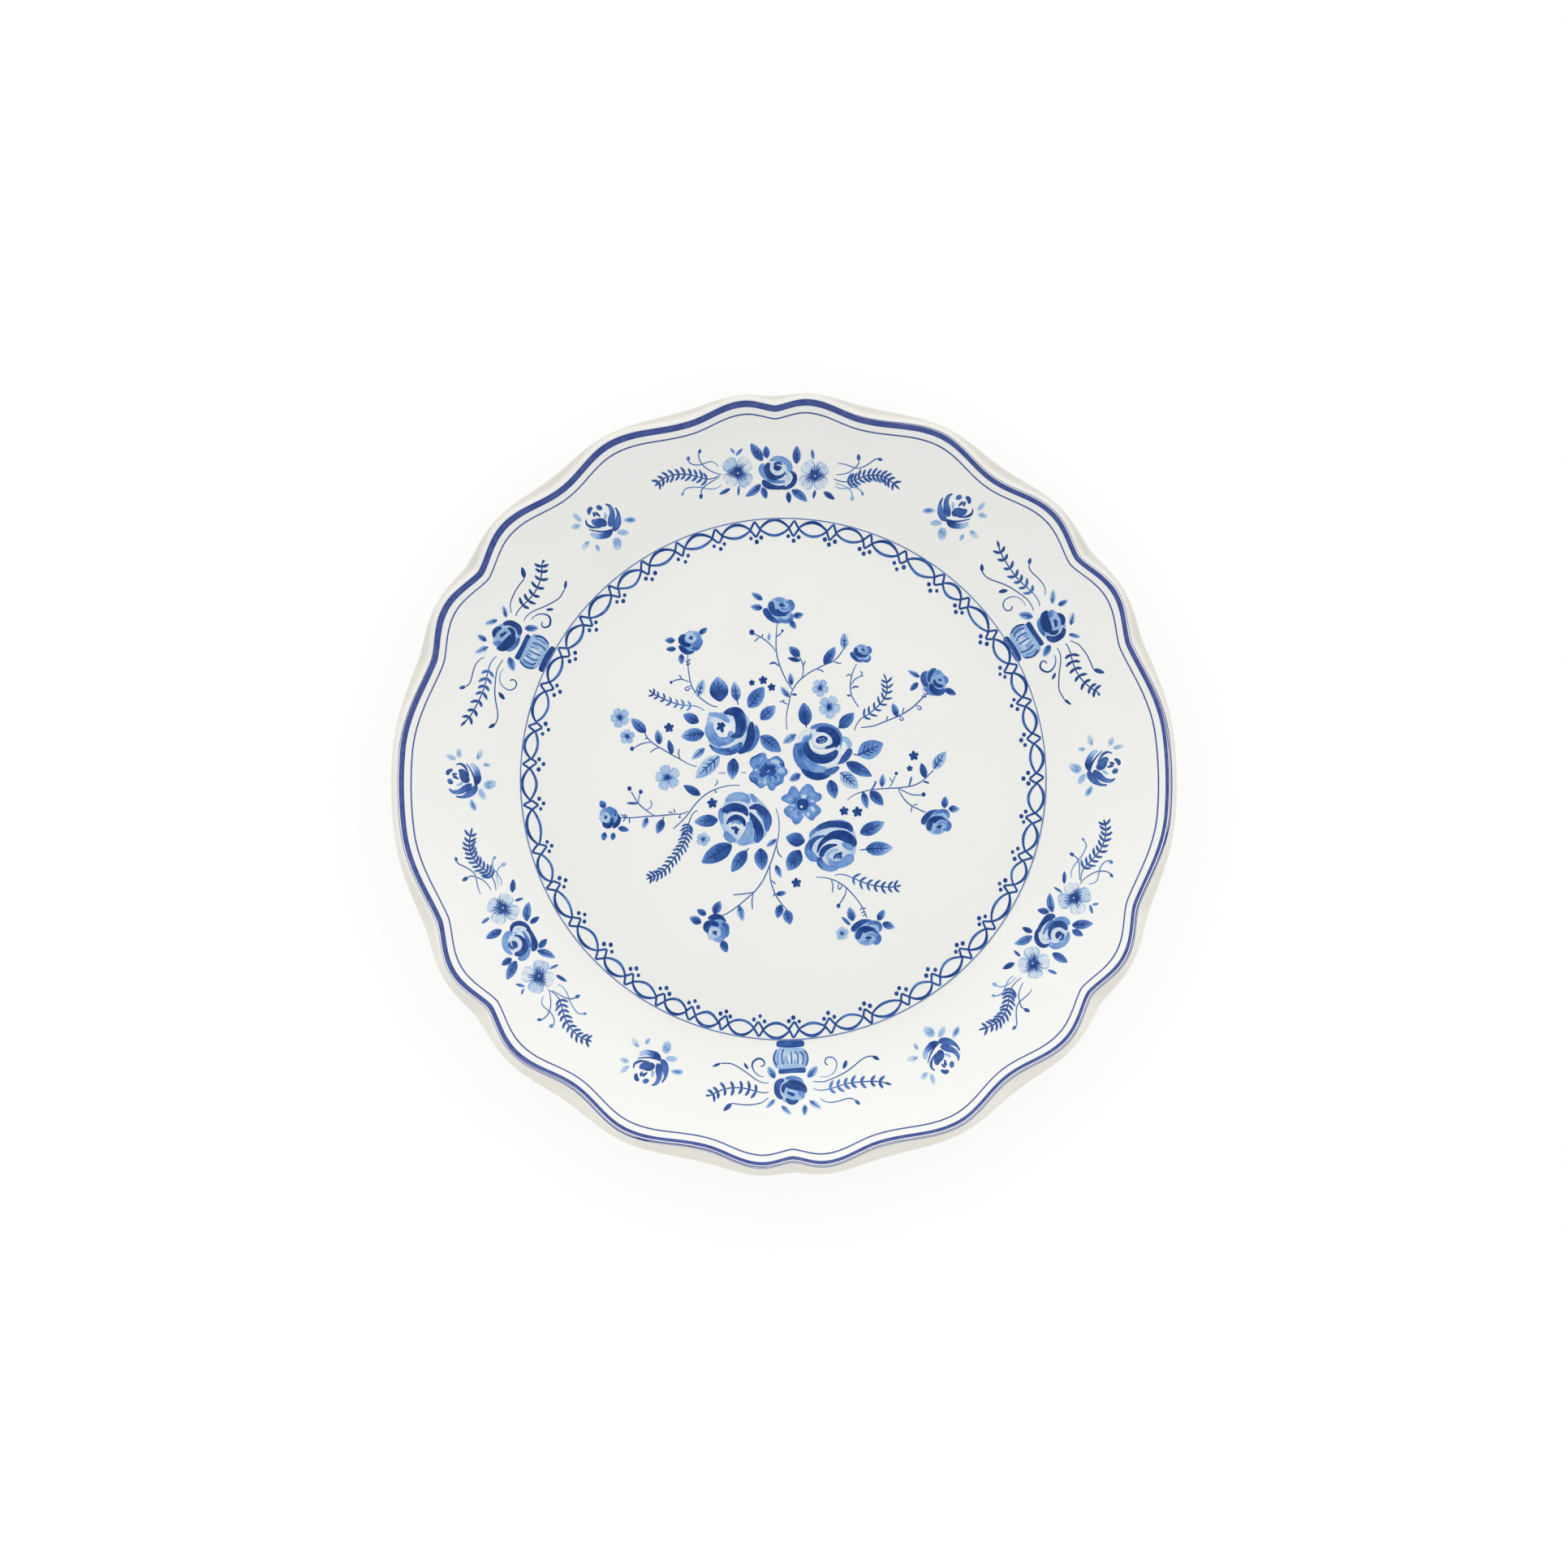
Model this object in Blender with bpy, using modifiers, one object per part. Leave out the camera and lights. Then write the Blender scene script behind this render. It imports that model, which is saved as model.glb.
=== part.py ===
"""China dinner plate: one fired body with a scalloped rim, a shallow well and a foot ring.

The section is turned about Z, then the rim is pressed inwards to make the scallops. The origin is
on the table under the middle of the plate, +X runs to the widest lobe and +Z is up.
"""

import math

import bmesh
import bpy
from mathutils import Vector
from mathutils.geometry import interpolate_bezier

MM = 0.001

# Driving dimensions, in millimetres.
HEIGHT = 22.0  # table to the top of the rim
WALL_RADIUS = 135.7  # outermost wall, at the widest lobes
CREST_RADIUS = 133.4  # highest line of the rim, at the widest lobes
FLOOR_HEIGHT = 6.0  # top of the well's floor
FLOOR_FLAT_RADIUS = 60.0
WELL_RADIUS = 91.0  # where the well turns up into the rim
FOOT_INNER_RADIUS = 86.0
FOOT_OUTER_RADIUS = 88.0
RECESS_HEIGHT = 2.4  # underside of the floor above the table

# The rim's turns in one quarter, from +X to +Y: angle in degrees and how far the crest is pressed
# in, in millimetres. Lobes and dips alternate. A dip also says how blunt it is: 2 is a soft wave,
# and nearer 1 is a notch.
LOBES = ((6.0, 0.0), (28.3, 0.75), (43.7, 1.1), (64.5, 0.75), (85.0, 0.6))
DIPS = ((20.5, 4.2, 1.6), (36.0, 4.75, 1.5), (54.0, 5.2, 2.0), (76.0, 4.1, 2.1), (90.0, 2.9, 1.5))
WALL_SHARE = 0.55  # the wall below the crest is pressed in by this share of the crest's dip
DIP_FALL = 0.4  # the crest also falls by this share of the dip, so the rim keeps one even slope
CREST_OFFSET = 0.6

# The middle of the rim's thickness, from the well's edge to the wall, and the blend either side.
MIDDLE_LOW = 4.0
MIDDLE_HIGH = 18.5
BLEND = 3.0

TURN_STEPS = 180


def scallop(angle):
    """How far the crest is pressed in at this angle, in millimetres."""
    folded = abs((math.degrees(angle) + 90.0) % 180.0 - 90.0)
    for (lobe_at, lobe), (dip_at, dip, blunt), (next_at, following) in zip(
        LOBES, DIPS, LOBES[1:] + ((96.0, LOBES[-1][1]),)
    ):
        if folded <= lobe_at:
            return lobe
        if folded <= next_at:
            near_at, near = (lobe_at, lobe) if folded < dip_at else (next_at, following)
            along = abs(folded - dip_at) / abs(near_at - dip_at)
            rise = math.sin(math.pi / 2 * along) ** blunt
            return dip + (near - dip) * rise
    return LOBES[-1][1]


def smooth(low, high, value):
    """0 below low, 1 above high and an easy curve between them."""
    share = min(max((value - low) / (high - low), 0.0), 1.0)
    return share * share * (3.0 - 2.0 * share)


def curve(start, handle, other_handle, end, pieces):
    """Points along one Bezier stretch of the section, without its first point."""
    knots = [Vector((x, 0.0, z)) for x, z in (start, handle, other_handle, end)]
    return [(p.x, p.z) for p in interpolate_bezier(*knots, pieces + 1)][1:]


def section():
    """The plate's half section as (radius, height), from the middle of the well round to the recess."""
    well_edge = (WELL_RADIUS - 7.0, FLOOR_HEIGHT - 0.6)
    rim_start = (WELL_RADIUS + 6.0, FLOOR_HEIGHT + 1.3)
    rim_end = (CREST_RADIUS - 1.6, HEIGHT - 1.0)
    crest = (CREST_RADIUS, HEIGHT)
    wall = (WALL_RADIUS, HEIGHT - 3.6)
    wall_under = (WALL_RADIUS - 2.1, HEIGHT - 6.4)
    foot_top = (FOOT_OUTER_RADIUS + 1.5, RECESS_HEIGHT + 0.5)
    points = [(0.0, FLOOR_HEIGHT), (FLOOR_FLAT_RADIUS, FLOOR_HEIGHT)]
    points += curve(points[-1], (68.0, FLOOR_HEIGHT), (76.0, 5.6), well_edge, 2)
    points += curve(well_edge, (89.0, 5.25), (92.6, 6.2), rim_start, 3)
    points += curve(rim_start, (108.6, 10.2), (120.2, 14.9), rim_end, 4)
    points += curve(rim_end, (132.5, 21.5), (132.8, HEIGHT), crest, 2)
    points += curve(crest, (134.6, HEIGHT), (WALL_RADIUS, 20.2), wall, 2)
    points += curve(wall, (WALL_RADIUS, 17.0), (134.9, 16.1), wall_under, 2)
    points += curve(wall_under, (121.0, 10.6), (103.0, 4.4), foot_top, 4)
    points += [(FOOT_OUTER_RADIUS + 0.5, 0.5), (FOOT_OUTER_RADIUS, 0.0), (FOOT_INNER_RADIUS, 0.0)]
    points += [(FOOT_INNER_RADIUS - 0.6, 0.6), (FOOT_INNER_RADIUS - 2.2, RECESS_HEIGHT)]
    return points + [(0.0, RECESS_HEIGHT)]


def upper_share(radius, height):
    """1 on the rim's upper face and crest, 0 on its wall and underside."""
    across = max(radius - WELL_RADIUS, 0.0) / (WALL_RADIUS - WELL_RADIUS)
    middle = MIDDLE_LOW + (MIDDLE_HIGH - MIDDLE_LOW) * across**1.5
    return smooth(0.0, 1.0, (height - middle) / BLEND)


def press_rim(mesh):
    """Presses the turned rim inwards: all of the dip at the crest, a share of it on the wall and under."""
    for vertex in mesh.vertices:
        radius = math.hypot(vertex.co.x, vertex.co.y) / MM
        reach = smooth(WELL_RADIUS + 5.0, CREST_RADIUS, radius)
        if reach == 0.0:
            continue
        upper = upper_share(radius, vertex.co.z / MM)
        share = WALL_SHARE + (1.0 - WALL_SHARE) * upper
        pressed = scallop(math.atan2(vertex.co.y, vertex.co.x)) * share * reach
        vertex.co.x *= 1.0 - pressed / radius
        vertex.co.y = vertex.co.y * (1.0 - pressed / radius) + CREST_OFFSET * MM * upper * reach
        vertex.co.z -= DIP_FALL * pressed * MM


def glazed_china():
    """White glazed china."""
    material = bpy.data.materials.new("glazed_china")
    material.use_nodes = True
    shader = material.node_tree.nodes["Principled BSDF"]
    shader.inputs["Base Color"].default_value = (0.87, 0.87, 0.85, 1.0)
    shader.inputs["Roughness"].default_value = 0.12
    shader.inputs["Metallic"].default_value = 0.0
    return material


def make_plate(collection):
    """Turns the section, presses the rim and leaves one closed body."""
    shape = bmesh.new()
    corners = [shape.verts.new((x * MM, 0.0, z * MM)) for x, z in section()]
    for first, second in zip(corners, corners[1:]):
        shape.edges.new((first, second))
    mesh = bpy.data.meshes.new("plate_body")
    shape.to_mesh(mesh)
    shape.free()
    plate = bpy.data.objects.new("plate_body", mesh)
    collection.objects.link(plate)
    turn = plate.modifiers.new("Turn", "SCREW")
    turn.steps = TURN_STEPS
    turn.render_steps = TURN_STEPS
    turn.use_merge_vertices = True
    turn.merge_threshold = 0.00001
    bpy.context.view_layer.update()
    turned = bpy.data.meshes.new_from_object(plate.evaluated_get(bpy.context.evaluated_depsgraph_get()))
    turned.name = "plate_body"
    plate.modifiers.clear()
    plate.data = turned
    press_rim(turned)
    turned.shade_smooth()
    turned.set_sharp_from_angle(angle=math.radians(50))
    turned.materials.append(glazed_china())
    return plate


def main():
    for old in list(bpy.data.objects):
        bpy.data.objects.remove(old)
    collection = bpy.data.collections.new("china_dinner_plate")
    bpy.context.scene.collection.children.link(collection)
    make_plate(collection)


main()
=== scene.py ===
"""Looks of the china dinner plate: high-resolution glazed body and its cobalt print.

Lengths in this script are millimetres in the plate's own frame, and become metres as each mesh is
made. The print lies on the glaze: every brush stroke is a thin closed patch that follows it.
"""

import math

import bpy
import numpy as np
from mathutils import Euler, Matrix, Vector
from mathutils.geometry import interpolate_bezier

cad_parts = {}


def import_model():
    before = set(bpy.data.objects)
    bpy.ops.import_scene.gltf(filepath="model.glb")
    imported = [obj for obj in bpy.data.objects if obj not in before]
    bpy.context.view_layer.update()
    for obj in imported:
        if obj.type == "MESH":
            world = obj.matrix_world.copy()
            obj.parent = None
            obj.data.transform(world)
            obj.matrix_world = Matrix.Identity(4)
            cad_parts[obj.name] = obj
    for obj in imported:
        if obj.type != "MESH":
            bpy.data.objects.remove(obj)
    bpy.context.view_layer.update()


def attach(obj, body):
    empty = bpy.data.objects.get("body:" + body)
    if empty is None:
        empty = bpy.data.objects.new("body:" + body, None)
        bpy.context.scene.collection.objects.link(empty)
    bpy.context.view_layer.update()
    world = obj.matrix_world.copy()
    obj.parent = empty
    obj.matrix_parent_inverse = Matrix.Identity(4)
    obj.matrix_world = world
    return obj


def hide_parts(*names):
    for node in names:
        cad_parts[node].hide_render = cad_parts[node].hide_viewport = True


MM = 0.001

# ---------------------------------------------------------------- the body, as the CAD design has it
HEIGHT = 22.0
WALL_RADIUS = 135.7
CREST_RADIUS = 133.4
FLOOR_HEIGHT = 6.0
FLOOR_FLAT_RADIUS = 60.0
WELL_RADIUS = 91.0
FOOT_INNER_RADIUS = 86.0
FOOT_OUTER_RADIUS = 88.0
RECESS_HEIGHT = 2.4
LOBES = ((6.0, 0.0), (28.3, 0.75), (43.7, 1.1), (64.5, 0.75), (85.0, 0.6))
DIPS = ((20.5, 4.2, 1.6), (36.0, 4.75, 1.5), (54.0, 5.2, 2.0), (76.0, 4.1, 2.1), (90.0, 2.9, 1.5))
WALL_SHARE = 0.55
DIP_FALL = 0.4
CREST_OFFSET = 0.6
MIDDLE_LOW = 4.0
MIDDLE_HIGH = 18.5
BLEND = 3.0

TURN_STEPS = 900  # steps round the body
CREASE_DEPTH = 0.22  # shallow folds that run in from two of the dips
CREASE_WIDTH = 3.0
CREASE_RADII = (100.0, 128.0)  # where a fold begins, and where it is full
CREASES = (36.0, 90.0)
SETTLE_ROUNDS = 5  # rounds that carry a place on the plate back to its section
LIP_POINTS = 6  # points of the section over which white turns to cream and painted shade at the lip
CREAM_AND_SHADE_ABOVE = 3.0  # the outside is cream with painted shade above this height and white below it
FOOT_TOUCH = 0.05  # the foot is bare below this height


def scallop_at(degrees):
    """How far the crest is pressed in at this angle of the first quarter."""
    following = LOBES[1:] + ((96.0, LOBES[-1][1]),)
    for (lobe_at, lobe), (dip_at, dip, blunt), (next_at, next_lobe) in zip(LOBES, DIPS, following):
        if degrees <= lobe_at:
            return lobe
        if degrees <= next_at:
            near_at, near = (lobe_at, lobe) if degrees < dip_at else (next_at, next_lobe)
            along = abs(degrees - dip_at) / abs(near_at - dip_at)
            return dip + (near - dip) * math.sin(math.pi / 2 * along) ** blunt
    return LOBES[-1][1]


QUARTER = np.linspace(0.0, 90.0, 901)
QUARTER_SCALLOP = np.array([scallop_at(degrees) for degrees in QUARTER])


def fold(angle):
    """Angles in radians as degrees of the first quarter."""
    return np.abs((np.degrees(angle) + 90.0) % 180.0 - 90.0)


def scallop(angle):
    return np.interp(fold(angle), QUARTER, QUARTER_SCALLOP)


def smooth(low, high, value):
    """0 below low, 1 above high and an easy curve between them."""
    share = np.clip((value - low) / (high - low), 0.0, 1.0)
    return share * share * (3.0 - 2.0 * share)


def curve(start, handle, other_handle, end, pieces):
    """Points along one Bezier stretch of the section, without its first point."""
    knots = [Vector((x, 0.0, z)) for x, z in (start, handle, other_handle, end)]
    return [(p.x, p.z) for p in interpolate_bezier(*knots, pieces + 1)][1:]


def section():
    """The half section as (radius, height): the upper face as far as the crest, then the rest."""
    well_edge = (WELL_RADIUS - 7.0, FLOOR_HEIGHT - 0.6)
    rim_start = (WELL_RADIUS + 6.0, FLOOR_HEIGHT + 1.3)
    rim_end = (CREST_RADIUS - 1.6, HEIGHT - 1.0)
    crest = (CREST_RADIUS, HEIGHT)
    wall = (WALL_RADIUS, HEIGHT - 3.6)
    wall_under = (WALL_RADIUS - 2.1, HEIGHT - 6.4)
    foot_top = (FOOT_OUTER_RADIUS + 1.5, RECESS_HEIGHT + 0.5)
    upper = [(radius, FLOOR_HEIGHT) for radius in (0.0, 8.0, 20.0, 35.0, 48.0, FLOOR_FLAT_RADIUS)]
    upper += curve(upper[-1], (68.0, FLOOR_HEIGHT), (76.0, 5.6), well_edge, 8)
    upper += curve(well_edge, (89.0, 5.25), (92.6, 6.2), rim_start, 12)
    upper += curve(rim_start, (108.6, 10.2), (120.2, 14.9), rim_end, 24)
    upper += curve(rim_end, (132.5, 21.5), (132.8, HEIGHT), crest, 6)
    lower = curve(crest, (134.6, HEIGHT), (WALL_RADIUS, 20.2), wall, 8)
    lower += curve(wall, (WALL_RADIUS, 17.0), (134.9, 16.1), wall_under, 8)
    lower += curve(wall_under, (121.0, 10.6), (103.0, 4.4), foot_top, 12)
    lower += curve(foot_top, (88.6, 2.2), (88.7, 0.9), (FOOT_OUTER_RADIUS + 0.4, 0.35), 4)
    lower += curve(lower[-1], (88.3, 0.1), (88.2, 0.0), (FOOT_OUTER_RADIUS, 0.0), 3)
    lower += [(FOOT_INNER_RADIUS, 0.0)]
    lower += curve(lower[-1], (85.8, 0.0), (85.6, 0.2), (FOOT_INNER_RADIUS - 0.5, 0.5), 3)
    lower += curve(lower[-1], (85.2, 1.6), (84.6, 2.3), (FOOT_INNER_RADIUS - 3.0, RECESS_HEIGHT), 5)
    lower += [(radius, RECESS_HEIGHT) for radius in (60.0, 30.0, 8.0, 0.0)]
    return upper, lower


UPPER, LOWER = section()
UPPER_RADII = np.array([point[0] for point in UPPER])
UPPER_HEIGHTS = np.array([point[1] for point in UPPER])


def upper_share(radius, height):
    """1 on the rim's upper face and crest, 0 on its wall and underside."""
    across = np.clip(radius - WELL_RADIUS, 0.0, None) / (WALL_RADIUS - WELL_RADIUS)
    middle = MIDDLE_LOW + (MIDDLE_HIGH - MIDDLE_LOW) * across**1.5
    return smooth(0.0, 1.0, (height - middle) / BLEND)


def reach_at(radius):
    return smooth(WELL_RADIUS + 5.0, CREST_RADIUS, radius)


def crease(radius, angle):
    """How deep the shallow folds on the upper face are here."""
    degrees = fold(angle)
    depth = 0.0
    for at in CREASES:
        aside = np.radians(degrees - at) * radius
        depth = depth + np.exp(-((aside / CREASE_WIDTH) ** 2))
    return CREASE_DEPTH * depth * smooth(*CREASE_RADII, radius)


def shaped(radius, height, angle):
    """Section points turned to these angles and pressed into the scallops, as x, y, z arrays."""
    reach = reach_at(radius)
    upper = upper_share(radius, height)
    pressed = scallop(angle) * (WALL_SHARE + (1.0 - WALL_SHARE) * upper) * reach
    x = (radius - pressed) * np.cos(angle)
    y = (radius - pressed) * np.sin(angle) + CREST_OFFSET * upper * reach
    z = height - DIP_FALL * pressed - crease(radius, angle) * upper
    return x, y, z


def glaze_height(x, y):
    """Height of the upper face over these places."""
    radius = np.hypot(x, y)
    angle = np.arctan2(y, x)
    for _ in range(SETTLE_ROUNDS):
        reach = reach_at(radius)
        angle = np.arctan2(y - CREST_OFFSET * reach, x)
        radius = np.hypot(x, y - CREST_OFFSET * reach) + scallop(angle) * reach
    pressed = scallop(angle) * reach_at(radius)
    return np.interp(radius, UPPER_RADII, UPPER_HEIGHTS) - DIP_FALL * pressed - crease(radius, angle)


def on_glaze(x, y):
    """Points of the upper face over these places, and its normals there."""
    step = 0.4
    z = glaze_height(x, y)
    along = (glaze_height(x + step, y) - glaze_height(x - step, y)) / (2 * step)
    away = (glaze_height(x, y + step) - glaze_height(x, y - step)) / (2 * step)
    normals = np.stack([-along, -away, np.ones_like(z)], -1)
    normals /= np.linalg.norm(normals, axis=-1, keepdims=True)
    return np.stack([x, y, z], -1), normals


# ---------------------------------------------------------------- meshes
def mesh_piece(name, points, faces, material, attributes, normals=None):
    """A mesh object from points in millimetres, riding with the body."""
    mesh = bpy.data.meshes.new(name)
    mesh.from_pydata((np.asarray(points) * MM).tolist(), [], faces)
    for key, values in attributes.items():
        layer = mesh.attributes.new(key, "FLOAT", "POINT")
        layer.data.foreach_set("value", np.asarray(values, np.float32))
    mesh.validate()
    mesh.shade_smooth()
    if normals is not None:
        mesh.normals_split_custom_set_from_vertices(np.asarray(normals).tolist())
    mesh.materials.append(material)
    piece = bpy.data.objects.new(name, mesh)
    bpy.context.scene.collection.objects.link(piece)
    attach(piece, "root")
    return piece


def plate_body(material):
    """The whole body, turned and pressed as the CAD body is, with fine steps."""
    loop = np.array(UPPER + LOWER)
    radii, heights = loop[1:-1, 0], loop[1:-1, 1]
    angles = np.linspace(0.0, 2 * math.pi, TURN_STEPS, endpoint=False)
    radius, angle = np.meshgrid(radii, angles)
    height = np.broadcast_to(heights, radius.shape)
    points = np.stack(shaped(radius, height, angle), -1)
    count = len(radii)
    # A mask for the outside's cream tint and its painted shade, from near the crest round to the underside.
    outside = np.clip(np.arange(count) - (len(UPPER) - 3), 0, LIP_POINTS) / LIP_POINTS
    cream_and_shade = np.broadcast_to(outside * (heights > CREAM_AND_SHADE_ABOVE), radius.shape)
    bare = np.broadcast_to((heights < FOOT_TOUCH) * 1.0, radius.shape)
    points = points.reshape(-1, 3).tolist() + [[0.0, 0.0, FLOOR_HEIGHT], [0.0, 0.0, RECESS_HEIGHT]]
    top, bottom = len(points) - 2, len(points) - 1
    faces = []
    for turn in range(TURN_STEPS):
        here, there = turn * count, (turn + 1) % TURN_STEPS * count
        faces.append((top, here, there))
        faces.append((bottom, there + count - 1, here + count - 1))
        faces += [(here + i, here + i + 1, there + i + 1, there + i) for i in range(count - 1)]
    attributes = {
        "cream_and_shade": np.append(cream_and_shade.ravel(), [0.0, 0.0]),
        "bare": np.append(bare.ravel(), [0.0, 0.0]),
    }
    body = mesh_piece("plate_glazed_body", points, faces, material, attributes)
    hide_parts("plate_body")


# ---------------------------------------------------------------- brush strokes
PRINT_TOP = 0.03  # how far a stroke stands over the glaze
STROKE_LIFT = 0.006  # how far it stands over each stroke that it crosses
PRINT_UNDER = -0.05  # its underside lies inside the body
PRINT_SAG = 0.0015  # and deeper by this times its width squared, to clear a hollow in the glaze
FADE = 0.16  # soft edge of a stroke
STEP = 0.7  # how far apart the stations along a stroke are
FINE_STEP = 0.4  # and along a fine one
FINE_WIDTH = 0.6  # a stroke narrower than this is fine
MOST_STATIONS = 70
THINNEST = 0.02  # no stroke gets narrower than this
INMOST = 0.015  # a wash leaves this share of its reach open at its middle, so no face collapses


def gap_to(points, spine, half):
    """How far each point lies outside a stroke of these half widths, and its nearest place on it."""
    run = spine[1:] - spine[:-1]
    away = points[:, None] - spine[:-1]
    share = np.clip((away * run).sum(-1) / np.maximum((run * run).sum(-1), 1e-9), 0.0, 1.0)
    gap = np.linalg.norm(away - share[..., None] * run, axis=-1) - half[:-1] - share * np.diff(half)
    nearest = gap.argmin(axis=1)
    return gap[np.arange(len(points)), nearest], nearest


def turned(x, y, angle):
    """These places, turned about the middle by an angle in radians."""
    cosine, sine = math.cos(angle), math.sin(angle)
    return x * cosine - y * sine, x * sine + y * cosine


class Print:
    """Brush strokes that become one piece of the print; laid holds strokes that they may cross."""

    def __init__(self, name, laid=None):
        self.name = name
        self.points, self.normals, self.faces, self.ink = [], [], [], []
        self.laid = [] if laid is None else laid
        self.place()

    def place(self, x=0.0, y=0.0, turn=0.0, scale=1.0, mirror=False, degrees=0.0, strength=1.0):
        """How the next strokes are placed: scaled, turned and moved by x, y, then turned by degrees
        round the plate. strength is how strongly their ink prints.
        """
        self.mirror, self.scale, self.shift, self.strength = mirror, scale, (x, y), strength
        self.turn, self.degrees = math.radians(turn), math.radians(degrees)
        return self

    def placed(self, x, y):
        """These x and y in the plate's own frame."""
        x, y = x * self.scale, y * self.scale
        if self.mirror:
            x = -x
        x, y = turned(x, y, self.turn)
        return turned(x + self.shift[0], y + self.shift[1], self.degrees)

    def lay(self, flat, ink):
        """Fills the soft edges with the tone beneath, and returns how many strokes lie under it."""
        edge = np.isnan(ink)
        rim, under = flat[edge], np.zeros(edge.sum())
        spine = flat[:, flat.shape[1] // 2]
        half = np.linalg.norm(flat[:, 0] - flat[:, -1], axis=-1) / 2 - FADE / 2
        low, high = flat.min(axis=(0, 1)) - FADE, flat.max(axis=(0, 1)) + FADE
        level = 0
        for other, other_half, other_ink, other_low, other_high, other_level in self.laid:
            if (other_high < low).any() or (other_low > high).any():
                continue
            if gap_to(spine, other, other_half)[0].min() < half.max() + 3 * FADE:
                level = max(level, other_level + 1)
            gap, nearest = gap_to(rim, other, other_half)
            under[gap < 0.0] = other_ink[nearest[gap < 0.0]]
        ink[edge] = under
        self.laid.append((spine, half, ink[:, ink.shape[1] // 2], low, high, level))
        return level

    def add_grid(self, x, y, ink):
        """One closed patch from rows along it and columns across it."""
        if self.mirror:
            x, y, ink = x[:, ::-1], y[:, ::-1], ink[:, ::-1]
        rows, columns = x.shape
        ink = ink * self.strength
        x, y = self.placed(x, y)
        level = self.lay(np.stack([x, y], -1), ink)
        points, normals = on_glaze(x, y)
        raised = points + normals * (PRINT_TOP + STROKE_LIFT * level)
        span = np.linalg.norm(points[:, 0] - points[:, -1], axis=-1).max()
        sunk = (points + normals * (PRINT_UNDER - PRINT_SAG * span**2))[:, (0, -1)]
        base = sum(len(block) for block in self.points)
        self.points += [raised.reshape(-1, 3), sunk.reshape(-1, 3)]
        self.normals += [normals.reshape(-1, 3), normals[:, (0, -1)].reshape(-1, 3)]
        self.ink += [ink.ravel(), ink[:, (0, -1)].ravel()]
        under = base + rows * columns
        for i in range(rows - 1):
            a, b = base + i * columns, base + (i + 1) * columns
            c, d = under + 2 * i, under + 2 * i + 2
            self.faces += [(a + j, a + j + 1, b + j + 1, b + j) for j in range(columns - 1)]
            self.faces += [(a, b, d, c), (b + columns - 1, a + columns - 1, c + 1, d + 1)]
            self.faces.append((c, d, d + 1, c + 1))
        last, low = base + (rows - 1) * columns, under + 2 * (rows - 1)
        self.faces.append((under, under + 1) + tuple(base + j for j in reversed(range(columns))))
        self.faces.append((low + 1, low) + tuple(last + j for j in range(columns)))

    def make(self, material):
        points, normals = np.concatenate(self.points), np.concatenate(self.normals)
        attributes = {"ink": np.concatenate(self.ink)}
        mesh_piece(self.name, points, self.faces, material, attributes, normals)


def spline(values, shares):
    """A smooth curve through the values, one row each, read at these shares of its run."""
    values = np.asarray(values, float)
    if values.ndim == 1:
        values = values[:, None]
    if len(values) < 3:
        shares = np.asarray(shares)[:, None]
        return values[0] * (1 - shares) + values[-1] * shares
    knots = np.concatenate([[2 * values[0] - values[1]], values, [2 * values[-1] - values[-2]]])
    at = np.asarray(shares) * (len(values) - 1)
    i = np.minimum(at.astype(int), len(values) - 2)
    t = (at - i)[:, None]
    p0, p1, p2, p3 = knots[i], knots[i + 1], knots[i + 2], knots[i + 3]
    square, cube = 2 * p0 - 5 * p1 + 4 * p2 - p3, 3 * p1 - p0 - 3 * p2 + p3
    return 0.5 * (2 * p1 + (p2 - p0) * t + square * t**2 + cube * t**3)


def brush(art, path, width, tone, side=0.0, blunt=0.5, fade=FADE, pool=0.04):
    """A stroke along a path of x, y, x, y... width and tone are one value or several along it.

    side is how much darker the left of the stroke is than its right, and pool how much darker its rim
    dries than its middle. Its soft edge takes the tone beneath it.
    """
    path = np.reshape(path, (-1, 2))
    fade = min(fade, 0.3 * np.max(width))
    length = sum(math.dist(a, b) for a, b in zip(path, path[1:]))
    step = FINE_STEP if np.max(width) < FINE_WIDTH else STEP
    count = int(np.clip(length / step, 4, MOST_STATIONS)) + 2
    tip = min(fade / length, 0.1)
    shares = np.concatenate([[0.0], np.linspace(tip, 1.0 - tip, count), [1.0]])
    middle = spline(path, shares)
    widths = np.maximum(spline(np.atleast_1d(width), shares)[:, 0], THINNEST)
    tones = spline(np.atleast_1d(tone), shares)[:, 0]
    ahead = np.gradient(middle, axis=0)
    ahead /= np.linalg.norm(ahead, axis=1, keepdims=True) + 1e-9
    left = np.stack([-ahead[:, 1], ahead[:, 0]], 1)
    from_end = np.minimum(shares, 1 - shares) * length
    nose = np.clip(from_end / np.maximum(widths * 0.5, 0.05), 0.0, 1.0)
    half = widths / 2 * (1 - (1 - nose) ** 2) ** blunt
    soft = np.minimum(fade, half + 0.05)
    outer, inner = half + soft / 2, np.maximum(half - soft / 2, 0.0)
    aside = np.linspace(1.0, -1.0, 2 * math.ceil(widths.max() / 2) + 1)
    across = np.concatenate([outer[:, None], inner[:, None] * aside, -outer[:, None]], 1)
    x = middle[:, :1] + left[:, :1] * across
    y = middle[:, 1:] + left[:, 1:] * across
    ink = np.full(across.shape, np.nan)
    ink[:, 1:-1] = np.clip(tones[:, None] + aside * side / 2 + pool * (2 * aside**4 - 1), 0.0, 1.0)
    ink[0], ink[-1] = np.nan, np.nan
    art.add_grid(x, y, ink)


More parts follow.
